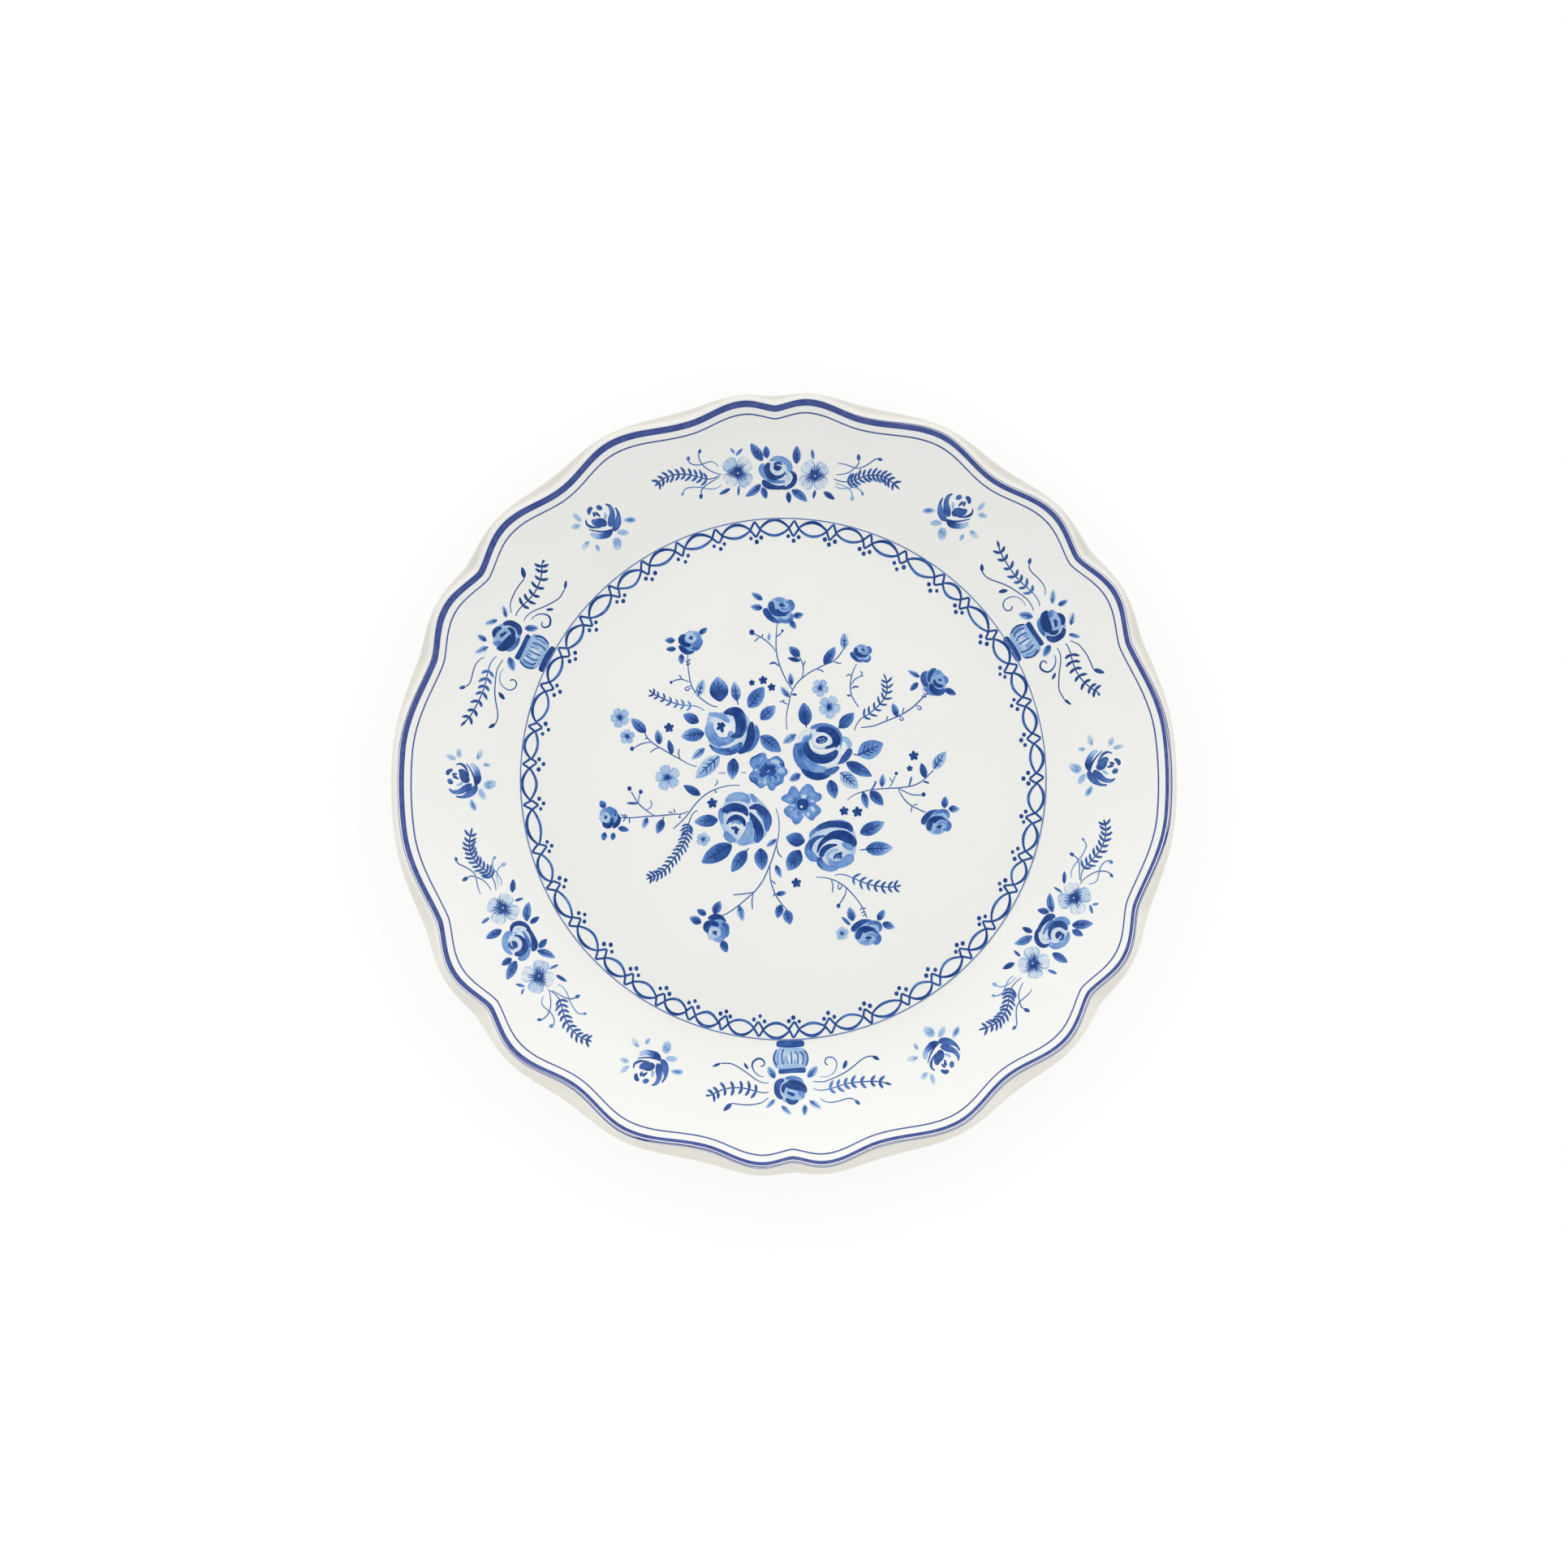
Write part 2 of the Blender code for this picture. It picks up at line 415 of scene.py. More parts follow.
def wash(art, x, y, outline, tone, pool=0.05):
    """A patch inside a clockwise outline of x, y, x, y... tone is that of its rim and of its middle."""
    knots = np.reshape(outline, (-1, 2))
    steps = 5 * len(knots) + 1
    closed = np.concatenate([knots[-1:], knots, knots[:2]])
    rim = spline(closed, (1.0 + np.linspace(0.0, len(knots), steps)) / (len(knots) + 2))
    away = rim - (x, y)
    reach = np.linalg.norm(away, axis=1)[:, None]
    shares = np.linspace(1.0, INMOST, 2 * math.ceil(reach.max() / 2) + 1)
    across = np.concatenate([1.0 + FADE / 2 / reach, (1.0 - FADE / 2 / reach) * shares], 1)
    ink = np.full(across.shape, np.nan)
    ink[:, 1:] = np.linspace(tone[0], tone[1], len(shares)) + pool * (2 * shares**6 - 1)
    art.add_grid(x + away[:, :1] * across, y + away[:, 1:] * across, np.clip(ink, 0.0, 1.0))


def paint(art, *rows, **more):
    """Several strokes, each a path, its widths and its tones."""
    for path, width, tone in rows:
        brush(art, path, width, tone, **more)


def dot(art, x, y, size, tone, **more):
    brush(art, ((x - size / 2, y), (x, y), (x + size / 2, y)), size, tone, **more)


def star(art, x, y, size):
    """A dark five-lobed floret."""
    tone, reach = 0.97, 1.06 * size
    for k in range(5):
        angle = math.radians(95 + 72 * k)
        tip_x, tip_y = x + reach * math.cos(angle), y + reach * math.sin(angle)
        brush(art, (x, y, tip_x, tip_y), (size * 0.8, size * 0.7, size * 0.5), tone)
    dot(art, x, y, size * 1.3, tone)


LEAF_PROFILE = np.array([0.3, 0.9, 1.0, 0.75, 0.12])
LEAFLET_PROFILE = np.array([0.45, 0.8, 0.75, 0.3])
VEIN_WIDTHS = (1.5, 2.6, 4.4)  # a leaf wider than each of these has one more pair of side veins


def leaf(art, base, tip, width, tone, veins=None, vein=1.0, bend=0.0, side=0.16, fade=FADE):
    """A leaf from its base to its tip, with a midrib and side veins in darker cobalt."""
    base, tip = np.array(base, float), np.array(tip, float)
    if veins is None:
        veins = sum(width > limit for limit in VEIN_WIDTHS)
    ahead = tip - base
    length = math.hypot(*ahead)
    left = np.array([-ahead[1], ahead[0]]) / length
    middle = (base + tip) / 2 + left * bend * length
    blade = (base, middle, tip)
    brush(art, blade, LEAF_PROFILE * width, np.multiply(tone, 0.94), side=side, pool=0.0, fade=fade)
    if not veins:
        return
    rib = spline(blade, np.array([0.0, 0.3, 0.55, 0.82]))
    thick = 0.3 + 0.028 * width
    brush(art, rib, (thick, thick * 1.2, thick, thick * 0.5), vein, fade=0.1)
    for k in range(veins):
        start = spline(blade, np.array([0.2 + 0.5 * k / veins]))[0]
        for way in (1, -1):
            reach = width * (0.34 - 0.05 * k) * (1.0 + 0.15 * way)
            end = start + left * way * reach + ahead / length * reach * 1.1
            bent = (start + end) / 2 + left * way * 0.05 * width
            brush(art, (start, bent, end), (thick, thick * 0.9, thick * 0.45), vein * 0.9, fade=0.1)


def leaves(art, *rows, **more):
    """Several leaves, each its base and its tip as x, y, x, y, its width and its tones."""
    for base_x, base_y, tip_x, tip_y, width, tone in rows:
        leaf(art, (base_x, base_y), (tip_x, tip_y), width, tone, **more)


def fern(art, spine, pairs, reach, tone, first, width, last=0.92, lean=52.0):
    """A sprig: curved pairs of leaflets between two shares of a thin spine, and one at its end."""
    spine = np.reshape(spine, (-1, 2))
    brush(art, spine, (0.28, 0.42, 0.42), np.clip(np.asarray(tone) + 0.05, 0, 1))
    for k, share in enumerate(np.linspace(first, last, pairs)):
        here, ahead = spline(spine, np.array([share, share + 0.02]))
        heading = math.atan2(*(ahead - here)[::-1])
        shade = float(spline(np.atleast_1d(tone), np.array([share]))[0, 0])
        for way in (1, -1):
            long = reach * (1.0 + 0.12 * math.sin(2.3 * k + way)) * (1.0 - 0.15 * share)
            out = heading + way * math.radians(lean + 7.0)
            forward = heading + way * math.radians(lean)
            bulge = here + 0.5 * long * np.array([math.cos(out), math.sin(out)])
            end = here + long * np.array([math.cos(forward), math.sin(forward)])
            brush(art, (here, bulge, end), LEAFLET_PROFILE * width, (shade, shade, shade * 0.8))
    brush(art, spline(spine, np.array([0.92, 0.96, 1.0])), (0.4, 0.7 * width, 0.25), tone[-1])


def tendrils(art, paler, *rows):
    """Thin curls that start paler and end in a comma-shaped bead.

    Each is its path, its tone, and its bead's tip and size.
    """
    width = 0.36
    for path, tone, tip, size in rows:
        brush(art, path, (width * 0.7, width, width), np.add((tone * paler, tone), 0.1))
        end = path[-2:]
        bead = (width, size, size * 0.9, size * 0.25)
        brush(art, (end, np.add(end, tip) / 2, tip), bead, tone)


def blossom(art, x, y, size, turn, petals=5, tone=0.3, heart=0.3, wave=0.06):
    """An open flower of notched petals round a dark starburst; a large one has a white dot too.

    heart is how far the starburst reaches, as a share of size, and wave how uneven the petals are.
    """

    def at(angle, reach, around=0.0):
        angle = math.radians(angle + around)
        return x + reach * size * math.cos(angle), y + reach * size * math.sin(angle)

    large = size > 5.0
    spread = 360.0 / petals
    wide = 2.8 / petals * size
    for k in range(petals):
        angle = turn + spread * k
        long = 1.0 + wave * math.sin(2.1 * k + 1.0)
        shade = tone + 0.06 * math.sin(3.0 * k + x)
        for around in (-spread * 0.14, spread * 0.14):
            path = at(angle, 0.15, around * 0.5), at(angle, 0.6, around * 0.9), at(angle, long, around)
            widths = np.array([0.5, 0.95, 1.0]) * wide
            brush(art, path, widths, (shade + 0.15, shade, shade * 0.9), pool=0.09)
        brush(art, (at(angle, 0.4), at(angle, 0.85)), 0.6 * wide, shade * 0.75, pool=0.0, fade=0.5)
    rays = 23 if large else 15
    for k in range(rays):
        angle = turn + 360.0 * (k + 0.3 * math.sin(5.0 * k + x)) / rays
        reach = heart * (1.15 + 0.32 * math.sin(7.0 * k + y))
        brush(art, (at(angle, 0.05), at(angle + 4, reach)), (0.12 * size, 0.035 * size), 0.88, fade=0.12)
    dot(art, x, y, heart * size * 1.2, 0.96)
    if large:
        dot(art, x + 0.03 * size, y - 0.05 * size, 0.1 * size, 0.08)


# ---------------------------------------------------------------- the rim's motifs
def garland(art):
    """A rose between two open flowers, with fern sprigs and tendrils on either side; outwards is up."""
    fern(art, (
        -19.6, 107.6, -22, 106.6, -24.5, 106.4, -28, 107.4, -32, 108.2, -36, 107.9, -39.5, 106.6,
        -42.3, 104.3), 10, 3, (0.7, 0.85, 0.9), first=0.27, width=1.05)
    fern(art, (
        19.6, 105.5, 21.5, 104.7, 24, 104.3, 27, 104.9, 31, 106.2, 35, 106.2, 38.5, 104.8, 42.5, 101.2), 12,
        3.2, (0.7, 0.85, 0.9), first=0.31, width=1.05)
    tendrils(
        art,
        0.75,
        ((-18.8, 107.9, -20.5, 108.1, -23, 109.2, -25.2, 110.8, -26.6, 113, -26.9, 115),
         0.75, (-26, 116.6), 1),
        ((-20.1, 110.4, -21.3, 111.8, -23, 112.3, -25, 111.7, -27, 111.2, -29.2, 111.5, -30.6, 112.6),
         0.6, (-30.3, 114.3), 1.2),
        ((-19.9, 107, -22, 105.8, -24.5, 104.4, -26, 102.8, -26.3, 101.5), 0.8, (-26.5, 99.5), 1.2),
        ((-19.2, 104.3, -21, 103.2, -23.5, 103, -26, 103.5, -29, 103.7, -31.5, 103.3, -32.5, 102),
         0.5, (-33.1, 100.8), 0.9),
        ((20.6, 106.9, 22.5, 106.9, 25, 107.5, 27, 108.9, 28.3, 110.2, 28.5, 111.3),
         0.8, (28.4, 113.7), 1.3),
        ((21.2, 110.6, 22.8, 110.5, 25, 109.8, 27.5, 108.9, 29.5, 109.1, 32, 110.3, 34, 111.6, 35, 111.9),
         0.75, (36.8, 111.3), 1),
        ((20.1, 103, 22, 102.1, 25, 102.2, 27, 102.4, 28.5, 101.6, 29.3, 100.8), 0.5, (29.8, 99.4), 0.9),
        ((20.2, 104, 22.5, 103.2, 24.5, 102.2, 25.7, 100.8, 26, 99.6), 0.35, (25.9, 97.6), 1.2),
    )
    blossom(art, -13.6, 108.5, 5.7, 45, petals=4, tone=0.21, heart=0.46, wave=0.05)
    blossom(art, 13.1, 106.9, 5.6, 38, petals=4, tone=0.2, heart=0.46, wave=-0.06)
    leaves(
        art,
        (-4.8, 112.2, -8.8, 118.2, 3.2, (0.85, 0.68, 0.6)),
        (-3.3, 113, -3.5, 117.2, 2.3, (0.9, 0.76)),
        (6.9, 110.9, 7.2, 117, 2.8, (0.88, 0.66, 0.66)),
        (3.8, 101.4, 4.1, 97.5, 1.8, 1),
        (-5.1, 103.2, -3.8, 99.2, 2.2, (0.7, 0.85, 0.68)),
        (12.8, 112.2, 12.4, 115.7, 1.2, (0.5, 0.85)),
        (13.2, 101.8, 12.4, 98.8, 1, (0.95, 0.85)),
        (16.1, 101.1, 19.9, 98.4, 1.9, (0.7, 0.92, 0.8)),
        (-14, 114.1, -11.6, 116.5, 1.1, (0.5, 0.82)),
        (-14.3, 114.8, -15.8, 116.7, 0.9, (0.45, 0.78)),
        (-16.2, 103, -20.1, 101, 1.3, (0.95, 0.85)),
        (-13.2, 103.9, -13.5, 100.4, 0.9, (0.6, 0.95)),
    )
    leaves(
        art,
        (-5.6, 104.2, -11, 100.2, 2.5, (0.75, 0.6, 0.55)),
        (5, 102, 10.3, 97.9, 2.8, (0.65, 0.62, 0.5)),
        veins=1,
        bend=0.05,
    )
    dot(art, 0.6, 107.6, 9.4, 0.12, pool=0.0)
    paint(
        art,
        ((-2.4, 112.1, -0.4, 112.9, 1.6, 112.7, 3.6, 111.5, 4.6, 109.8, 4.1, 108),
         (0.6, 1.5, 1.9, 2.1, 1.9, 1.2), (0.5, 0.45, 0.42, 0.45, 0.45, 0.4)),
        ((-4.4, 111.3, -5.3, 109.8, -5.1, 108.2, -4.1, 106.9, -2.6, 105.9),
         (1.1, 1.8, 1.7, 1.5, 0.8), 0.48),
        ((2.9, 107.6, 4, 107.2), (0.8, 0.5), 0.4),
        ((3.6, 106.4, 4.6, 105.2), 0.9, 0.2),
        ((-3.4, 106.2, -1.8, 105.4, 0.6, 104.9, 2.9, 105), (1.4, 1.5, 1.1, 0.8), (0.6, 0.66, 0.6, 0.5)),
        ((-2.5, 111.6, -3.3, 110, -3.2, 108.3, -2.2, 107, -0.8, 106.4, 0.7, 106.5, 2.1, 107.1, 3.1, 108.4),
         (1, 2, 2.2, 2.2, 1.7, 1.2, 0.9, 0.3), (0.9, 0.96, 1, 1, 1, 0.96, 0.9, 0.8)),
        ((-0.7, 110.4, -0.4, 111.1, 0.5, 111.4, 1.3, 111.2, 2, 110.7), (0.8, 1.1, 1.1, 0.9, 0.4), 0.86),
        ((-0.9, 110.4, -0.2, 109.7, 0.8, 109.6, 1.8, 110), (1.1, 1.8, 1.7, 0.6), 0.96),
        ((4.6, 108.5, 5.8, 107.6, 6.3, 106.3, 5.9, 104.8, 4.9, 103.6, 3.3, 102.8, 1.5, 102.5),
         (0.5, 1.2, 1.5, 1.7, 1.6, 1.2, 0.5), 1),
        ((-4.8, 105.8, -4.1, 104.5, -2.8, 103.6, -0.9, 103.1, 1.1, 102.9, 2.9, 103.4),
         (1, 2.2, 2.2, 1.6, 1.3, 0.9), (0.9, 1, 1, 1, 1, 0.95)),
    )


def urn(art):
    """A ribbed urn on the well line with a rose over it, ferns, curls and tendrils; outwards is up."""
    fern(art, (
        -7.7, 105.4, -9, 105.9, -11.5, 106, -15, 105.2, -18.5, 104.2, -22, 103.6, -27, 103.4, -31, 103.6,
        -34.8, 104.7), 7, 3, (0.5, 0.6, 0.75, 0.95), first=0.32, last=0.86, width=1.25)
    fern(art, (
        7.8, 106.2, 9, 106.5, 11.5, 106.1, 14.5, 105.2, 18, 104.5, 22, 104.7, 25.5, 105.7, 27.5, 106.8,
        29.6, 107), 7, 2.9, (0.8, 0.9, 0.85), first=0.28, last=0.84, lean=68, width=1.2)
    tendrils(
        art,
        0.8,
        ((-10, 108.9, -11.5, 109.9, -13.5, 110.3, -16, 110, -19, 109.2, -20.7, 109.1, -22, 109.7),
         0.75, (-23.7, 111.3), 1.2),
        ((-7.6, 102.9, -9, 103.1, -11.5, 103.1, -14, 102.3, -17, 101, -19.5, 99.7, -22, 97.9, -24.5, 95.9,
          -26.5, 94.9, -28.4, 94.7), 0.9, (-30.8, 96), 1.2),
        ((7.9, 108.1, 9, 109, 10.5, 109.9, 12.5, 110.3, 15, 110.5, 17.5, 110.3, 20.6, 109.8),
         0.85, (23.6, 112.4), 1.5),
        ((7.7, 103, 9, 103.1, 11, 102.5, 13, 101.2, 15, 99.6, 17, 98.2, 19, 96.9, 21, 96.1, 24.2, 96),
         0.9, (27, 97), 0.9),
    )
    paint(
        art,
        ((-10.2, 101.3, -12, 101.5, -14, 100.8, -15.3, 99.6, -15.9, 98, -15.9, 96.4, -15, 95.1, -13.8, 94.7,
          -12.5, 95, -12, 96, -12.2, 97, -12.9, 97.4), (0.25, 0.35, 0.4, 0.4), (0.35, 0.6, 0.8, 0.85)),
        ((9.2, 101, 10.5, 100.8, 12, 99.8, 13, 98.3, 13.3, 96.8, 12.8, 95.6, 11.5, 94.8, 10.3, 94.7,
          9.2, 95.6, 9, 96.6, 9.7, 97.3, 10.5, 97.2),
         (0.25, 0.4, 0.6, 0.65, 0.45, 0.35), (0.5, 0.75, 0.95, 0.95, 0.8)),
        ((-18.2, 98.9, -18.9, 97.4, -19.4, 95.9), (0.5, 1.4, 0.5), 0.9),
        ((14.7, 98.2, 15.4, 97.2, 16.1, 96), (0.4, 0.95, 0.4), 0.92),
    )
    leaves(
        art,
        (-6.2, 109.5, -10.4, 112.5, 1.9, (0.4, 0.26, 0.2)),
        (-4.7, 110.9, -4.4, 114.7, 1.7, (0.75, 0.55, 0.3)),
        (3.5, 111.1, 0, 114.3, 1.7, (0.5, 0.3, 0.2)),
        (5.7, 108.9, 8.9, 111.9, 1.5, (0.6, 0.4, 0.25)),
        (-5.8, 101.6, -9.4, 97.7, 2.4, (0.65, 0.48, 0.35)),
        (5.5, 101.6, 7.9, 97.4, 2.2, (0.85, 0.55, 0.3)),
        veins=1,
        vein=0.85,
        side=0.0,
        fade=0.5,
    )
    wash(art, 0, 94.8, (
        -4.6, 98.3, 0, 98.4, 4.7, 98.3, 6, 96.2, 6, 94, 4.6, 91.5, 0, 91.3, -4.6, 91.5, -5.9, 93.8,
        -6, 96.2), (0.28, 0.15), 0.02)
    paint(
        art,
        ((-5.3, 99, -3.8, 99, -0.4, 99.1, 2.6, 99.3, 4.3, 99.2),
         (1.7, 1.8, 1.6, 1.6, 1.7), (0.9, 0.82, 0.8, 0.88)),
        ((-5, 89.7, -3.4, 89.8, -0.1, 89.9, 3.3, 89.8, 4.8, 89.6),
         (1.8, 2.3, 2.5, 2.3, 1.8), (0.95, 0.85, 0.83, 0.9)),
    )
    paint(
        art,
        ((-5.2, 97.7, -6, 95.6, -5.8, 93.6, -4.9, 92.2), 0.55, 0.88),
        ((-4.1, 97.2, -4.5, 95.3, -4.1, 93.3, -3.1, 92.5), 0.5, (0.7, 0.85)),
        ((-2.4, 97, -2.6, 95, -2.4, 93.3, -1.6, 92.5), 0.45, (0.7, 0.85)),
        ((-0.4, 96.9, -0.4, 94.5, -0.2, 92.4), 0.42, (0.7, 0.82)),
        ((0.9, 96.9, 1.3, 95.5, 1.5, 93.9), 0.36, (0.65, 0.5)),
        ((2.5, 97, 3, 95, 2.8, 93, 2.3, 91.6), 0.5, (0.7, 0.82)),
        ((4.2, 96.7, 4.5, 95, 4.1, 92.6), 0.38, 0.55),
        ((4.7, 97.3, 5.5, 95.8, 5.7, 94, 4.7, 91.8), 0.6, 0.88),
        ((-5.2, 96.4, -5.2, 94.4, -4.4, 92.6), 0.5, 0.42),
        ((-1.5, 97.1, -1.6, 95.2), 0.5, 0.4),
        ((2.1, 96.8, 2.3, 94.2), 0.45, 0.42),
        ((-3.4, 97, -3.5, 95.6), 0.5, 0.08),
        ((0.3, 96.2, 0.4, 93.6), 0.5, 0.06),
        ((-1.4, 94.6, -1.2, 93.4), 0.4, 0.06),
        fade=0.12,
    )
    dot(art, 0.2, 105.6, 9.4, 0.26, pool=0.0)
    paint(
        art,
        ((-4.3, 103.3, -2.8, 102.2, -0.6, 101.6, 1.8, 101.7), (0.8, 1.5, 1.5, 0.8), (0.4, 0.5, 0.55, 0.7)),
        ((-3.9, 108.9, -3.8, 107.4, -2.6, 106.2), (0.6, 1.8, 1.6), (0.4, 0.5, 0.6)),
        ((-3.6, 108.9, -1.6, 108.3, 0.6, 107.2, 1.6, 105.8), (0.9, 1.5, 1.7, 1), (0.24, 0.26, 0.3)),
        ((-2.5, 109.4, -0.8, 110, 0.7, 109.7, 1.9, 108.6), (0.6, 1.6, 1.6, 0.9), 0.9),
        ((3.1, 108.8, 4.4, 107, 4.8, 105, 4.2, 103.2, 2.4, 102), (1.2, 2.2, 2.2, 2.3, 1.2), 0.88),
        ((-5.1, 106.9, -4.2, 105.2, -2.2, 104.3, 0.2, 103.8, 1.6, 103.2),
         (0.8, 2.5, 3.3, 3.1, 2), (0.86, 1, 1, 0.96)),
        ((2.6, 106.7, 2.9, 105.4, 2.2, 104.2, 1.3, 103.6), (0.7, 1.4, 1.6, 0.8), 0.96),
        ((1.7, 108.6, 3.2, 107.4, 3.7, 105.6, 3.4, 104.2, 2.4, 103, 1.5, 102.5),
         (0.3, 0.4, 0.35, 0.35, 0.4, 0.3), 0.1),
        ((-1.3, 107.4, -0.4, 107.4, 0.5, 106.9, 1.4, 106.5), (0.6, 1.2, 0.9, 0.9), 0.94),
        ((-1, 105.9, 0.6, 105.9), (0.4, 0.6), 0.14),
    )


# Where each garland and urn stands: its angle round the plate, how far it is moved sideways and
# outwards, and how strongly its ink prints.
RIM_MOTIFS = (
    ("garland_top", garland, 90.0, 0.0, 0.0, 1.0),
    ("garland_left", garland, 210.0, 0.9, -1.3, 1.0),
    ("garland_right", garland, 330.0, -0.2, -1.4, 1.0),
    ("urn_bottom", urn, 270.0, 0.0, 0.0, 1.0),
    ("urn_left", urn, 150.0, -1.1, 3.15, 1.15),
    ("urn_right", urn, 30.0, 1.1, 2.3, 1.15),
)
# Each small rose: its angle, how far it is moved sideways and outwards, its own turn beyond the
# lean that all six share, and whether it is mirrored.
SMALL_ROSES = (
    (56.4, -0.24, 111.85, 0.0, False),
    (123.4, 0.39, 110.7, 0.6, True),
    (177.7, -0.22, 110.8, -10.7, False),
    (243.1, -0.65, 108.5, -13.6, False),
    (298.9, -0.03, 108.4, -3.1, False),
    (1.9, 0.29, 110.2, 0.3, True),
)
SMALL_ROSE_LEAN = 33.6


def small_rose(art):
    """A closed rose with soft pale leaves below it, drawn about its own centre."""
    paint(
        art,
        ((-6.9, 0.3, -9.4, 0.4, -11.6, 0.2), (0.5, 1.9, 0.7), (0.15, 0.3, 0.25)),
        ((-7.6, 0.4, -10.8, 0.4), 0.7, (0.3, 0.6, 0.5)),
        ((-4.7, -3.9, -7, -3.9, -9.2, -4.1), (0.8, 1.9, 0.8), (0.28, 0.28, 0.15)),
        ((-4.5, -5.4, -4.9, -7.6, -5, -10.2), (1.5, 2.9, 1.2), (0.3, 0.34, 0.16)),
        ((2.5, -8, 1.9, -9.1, 1.2, -10.4), (0.5, 1.3, 0.6), (0.3, 0.34, 0.2)),
        ((4.6, -6.7, 6, -8.2, 7.4, -9.8), (0.5, 1.8, 0.7), (0.3, 0.2, 0.12)),
        ((7.4, -0.2, 8.8, 1.2, 10.3, 2.6), (0.7, 1.5, 0.6), (0.3, 0.25, 0.14)),
        ((7.4, -1.4, 9, -1.8, 10.9, -2.3), (0.6, 1.7, 0.7), (0.16, 0.26, 0.14)),
        fade=0.7,
    )
    paint(
        art,
        ((-5.7, -7.2, -4.8, -6.6), 0.4, 0.6),
        ((-4.6, -8.1, -4.5, -7), 0.35, 0.55),
        ((5, -7.1, 6.1, -7.9), 0.35, 0.6),
        ((2.3, -8.6, 1.8, -9.4), 0.35, 0.45),
        ((8.5, -1.7, 9.3, -1.8), 0.35, 0.5),
        ((-4.4, 4.7, -5.4, 2.6, -5.3, 0.2, -4.6, -1.8, -3.4, -3.4),
         (0.5, 1, 2.2, 2.4, 1.2), (0.85, 0.72, 0.74, 0.85)),
        ((-1, 5.9, -2.5, 5, -3.3, 3, -3, 0.4, -2.4, -2),
         (0.3, 1.2, 1.7, 2.4, 1.4), (0.9, 0.66, 0.7, 0.8, 0.85)),
        ((-0.9, 3.2, -1, 1.6, -0.8, 0.7), (0.6, 1, 0.5), (0.2, 0.32, 0.4)),
        ((0.1, 3.9, 1.2, 4.6, 2.3, 4.6), (1, 1.7, 1.2), (0.85, 0.72, 0.55)),
        ((3.4, 4.6, 4.5, 3.9, 4.7, 2.1), (0.9, 1.5, 0.9), 0.88),
        ((0.8, 1.5, 1.8, 2.4, 2.4, 3.2), (0.5, 0.8, 0.5), 0.95),
        ((1.7, 1.9, 2.7, 2.6), 0.5, 0.9),
        ((2.6, 1.3, 3.1, 2.4, 2.9, 3.2), (0.5, 0.7, 0.4), 0.95),
        ((-1.4, -1.4, 0.4, -0.5, 2.3, -0.5, 3.9, 0.3), (2, 3, 2.6, 1), (0.92, 0.85, 0.82, 0.78)),
        ((5.8, 0.6, 5.6, -0.9, 4.3, -1.9, 2.6, -2.2, 0.5, -2.1), (0.3, 0.7, 0.9, 0.6, 0.3), 0.88),
        ((-3.2, -3, -1.9, -4.5, 0, -5.1, 2.3, -5.2, 4.3, -4.2),
         (1, 2, 2, 1.8, 1.2), (1, 1, 0.75, 0.32, 0.24)),
        ((-3.3, -3.1, -0.6, -3.6, 2, -3.5, 4.9, -2.9), (0.9, 0.7, 0.5, 0.3), (1, 0.98, 0.92, 0.85)),
    )


def rim_prints(material):
    for name, motif, degrees, aside, out, strength in RIM_MOTIFS:
        art = Print("print_" + name).place(aside, out, degrees=degrees - 90.0, strength=strength)
        motif(art)
        art.make(material)
    for number, (degrees, aside, out, turn, mirror) in enumerate(SMALL_ROSES, 1):
        art = Print(f"print_small_rose_{number}")
        lean = -(turn + SMALL_ROSE_LEAN) if mirror else turn + SMALL_ROSE_LEAN
        art.place(aside, out, lean, mirror=mirror, degrees=degrees - 90.0)
        small_rose(art)
        art.make(material)


# ---------------------------------------------------------------- the bouquet in the well
def lines(art, *paths, width=0.4, tone=0.8):
    """Thin stems, twigs and barbs, each a path."""
    for path in paths:
        brush(art, path, (width * 0.65, width, width * 0.85), tone)


def dots(art, *rows):
    """Buds and specks, each with its centre and its size."""
    for x, y, size in rows:
        dot(art, x, y, 0.88 * size, 0.95)


def heart(art, x, y, *tips, width):
    """The dark middle of a flower: a blunt stroke from its centre to each tip."""
    for tip_x, tip_y in tips:
        brush(art, (x, y, tip_x, tip_y), (width * 0.8, width, width * 0.7), 0.98)


